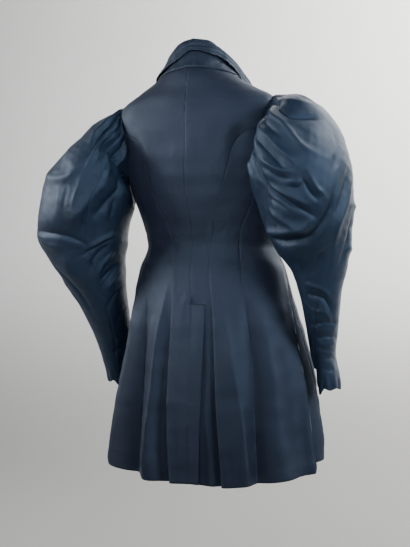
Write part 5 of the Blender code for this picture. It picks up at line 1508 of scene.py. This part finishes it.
ramp.interpolation_type = "SMOOTHSTEP"
ramp.inputs["From Min"].default_value, ramp.inputs["From Max"].default_value = FLOOR_Z - 0.1, 0.1
soft.data_type = "RGBA"
# the dark grey at the floor end of the ramp is painted shade
soft.inputs["A"].default_value = (0.25, 0.246, 0.24, 1)
tree.links.new(ramp.outputs["Result"], soft.inputs["Factor"])
mixed = next(n for n in tree.nodes if n.type == "MIX" and n != soft)
tree.links.new(mixed.outputs["Result"], soft.inputs["B"])
tree.links.new(soft.outputs["Result"], tree.nodes["Principled BSDF"].inputs["Base Color"])
backdrop.data.materials.append(backdrop_look)

world = bpy.context.scene.world or bpy.data.worlds.new("world")
bpy.context.scene.world = world
world.use_nodes = True
world.node_tree.nodes["Background"].inputs["Color"].default_value = (0.86, 0.93, 1.0, 1)
world.node_tree.nodes["Background"].inputs["Strength"].default_value = 0.13


def lamp(name, place, aim, size, power, colour, spread_=180.0):
    data = bpy.data.lights.new(name, "AREA")
    data.shape = "RECTANGLE"
    data.size, data.size_y = size
    data.energy = power
    data.color = colour
    data.spread = math.radians(spread_)
    made = bpy.data.objects.new(name, data)
    bpy.context.scene.collection.objects.link(made)
    made.location = place
    way = mathutils.Vector(aim) - mathutils.Vector(place)
    made.rotation_mode = "QUATERNION"
    made.rotation_quaternion = way.to_track_quat("-Z", "Y")
    made.visible_camera = False
    return made


lamp("key", (0.05, 1.60, 0.85), (0.05, 0.0, -0.06), (0.9, 0.6), 7.5, (0.95, 0.95, 1.0))
lamp("back_fill", (0.05, 1.60, -0.10), (-0.02, 0.0, -0.27), (0.5, 0.4), 1.2, (0.97, 0.96, 1.0), 44.0)
lamp("left_window", (2.1, 0.60, 0.35), (0.20, 0.0, -0.15), (0.5, 0.8), 58.0, (0.97, 0.98, 1.0))
lamp("right_window", (-2.3, 0.75, 0.35), (-0.20, 0.0, -0.12), (0.7, 0.9), 60.0, (0.87, 0.945, 1.0))
lamp("back_wash", (-2.6, -2.0, 2.2), (-1.0, -4.2, 0.55), (2.6, 1.6), 560.0, (1.0, 1.0, 0.985))
lamp("front_fill", (0.9, -2.2, 2.3), (0.0, 0.0, -0.35), (1.4, 1.0), 22.0, (0.97, 0.985, 1.0))

camera = bpy.data.objects.new("camera", bpy.data.cameras.new("camera"))
bpy.context.scene.collection.objects.link(camera)
camera.data.lens = 50.0
camera.data.sensor_width = 36.0
camera.data.sensor_fit = "AUTO"
camera.location = (-0.564, 1.511, -0.412)
camera.rotation_mode = "QUATERNION"
camera.rotation_quaternion = mathutils.Vector(tuple(view_way)).to_track_quat("-Z", "Y")
bpy.context.scene.camera = camera

bpy.context.view_layer.update()
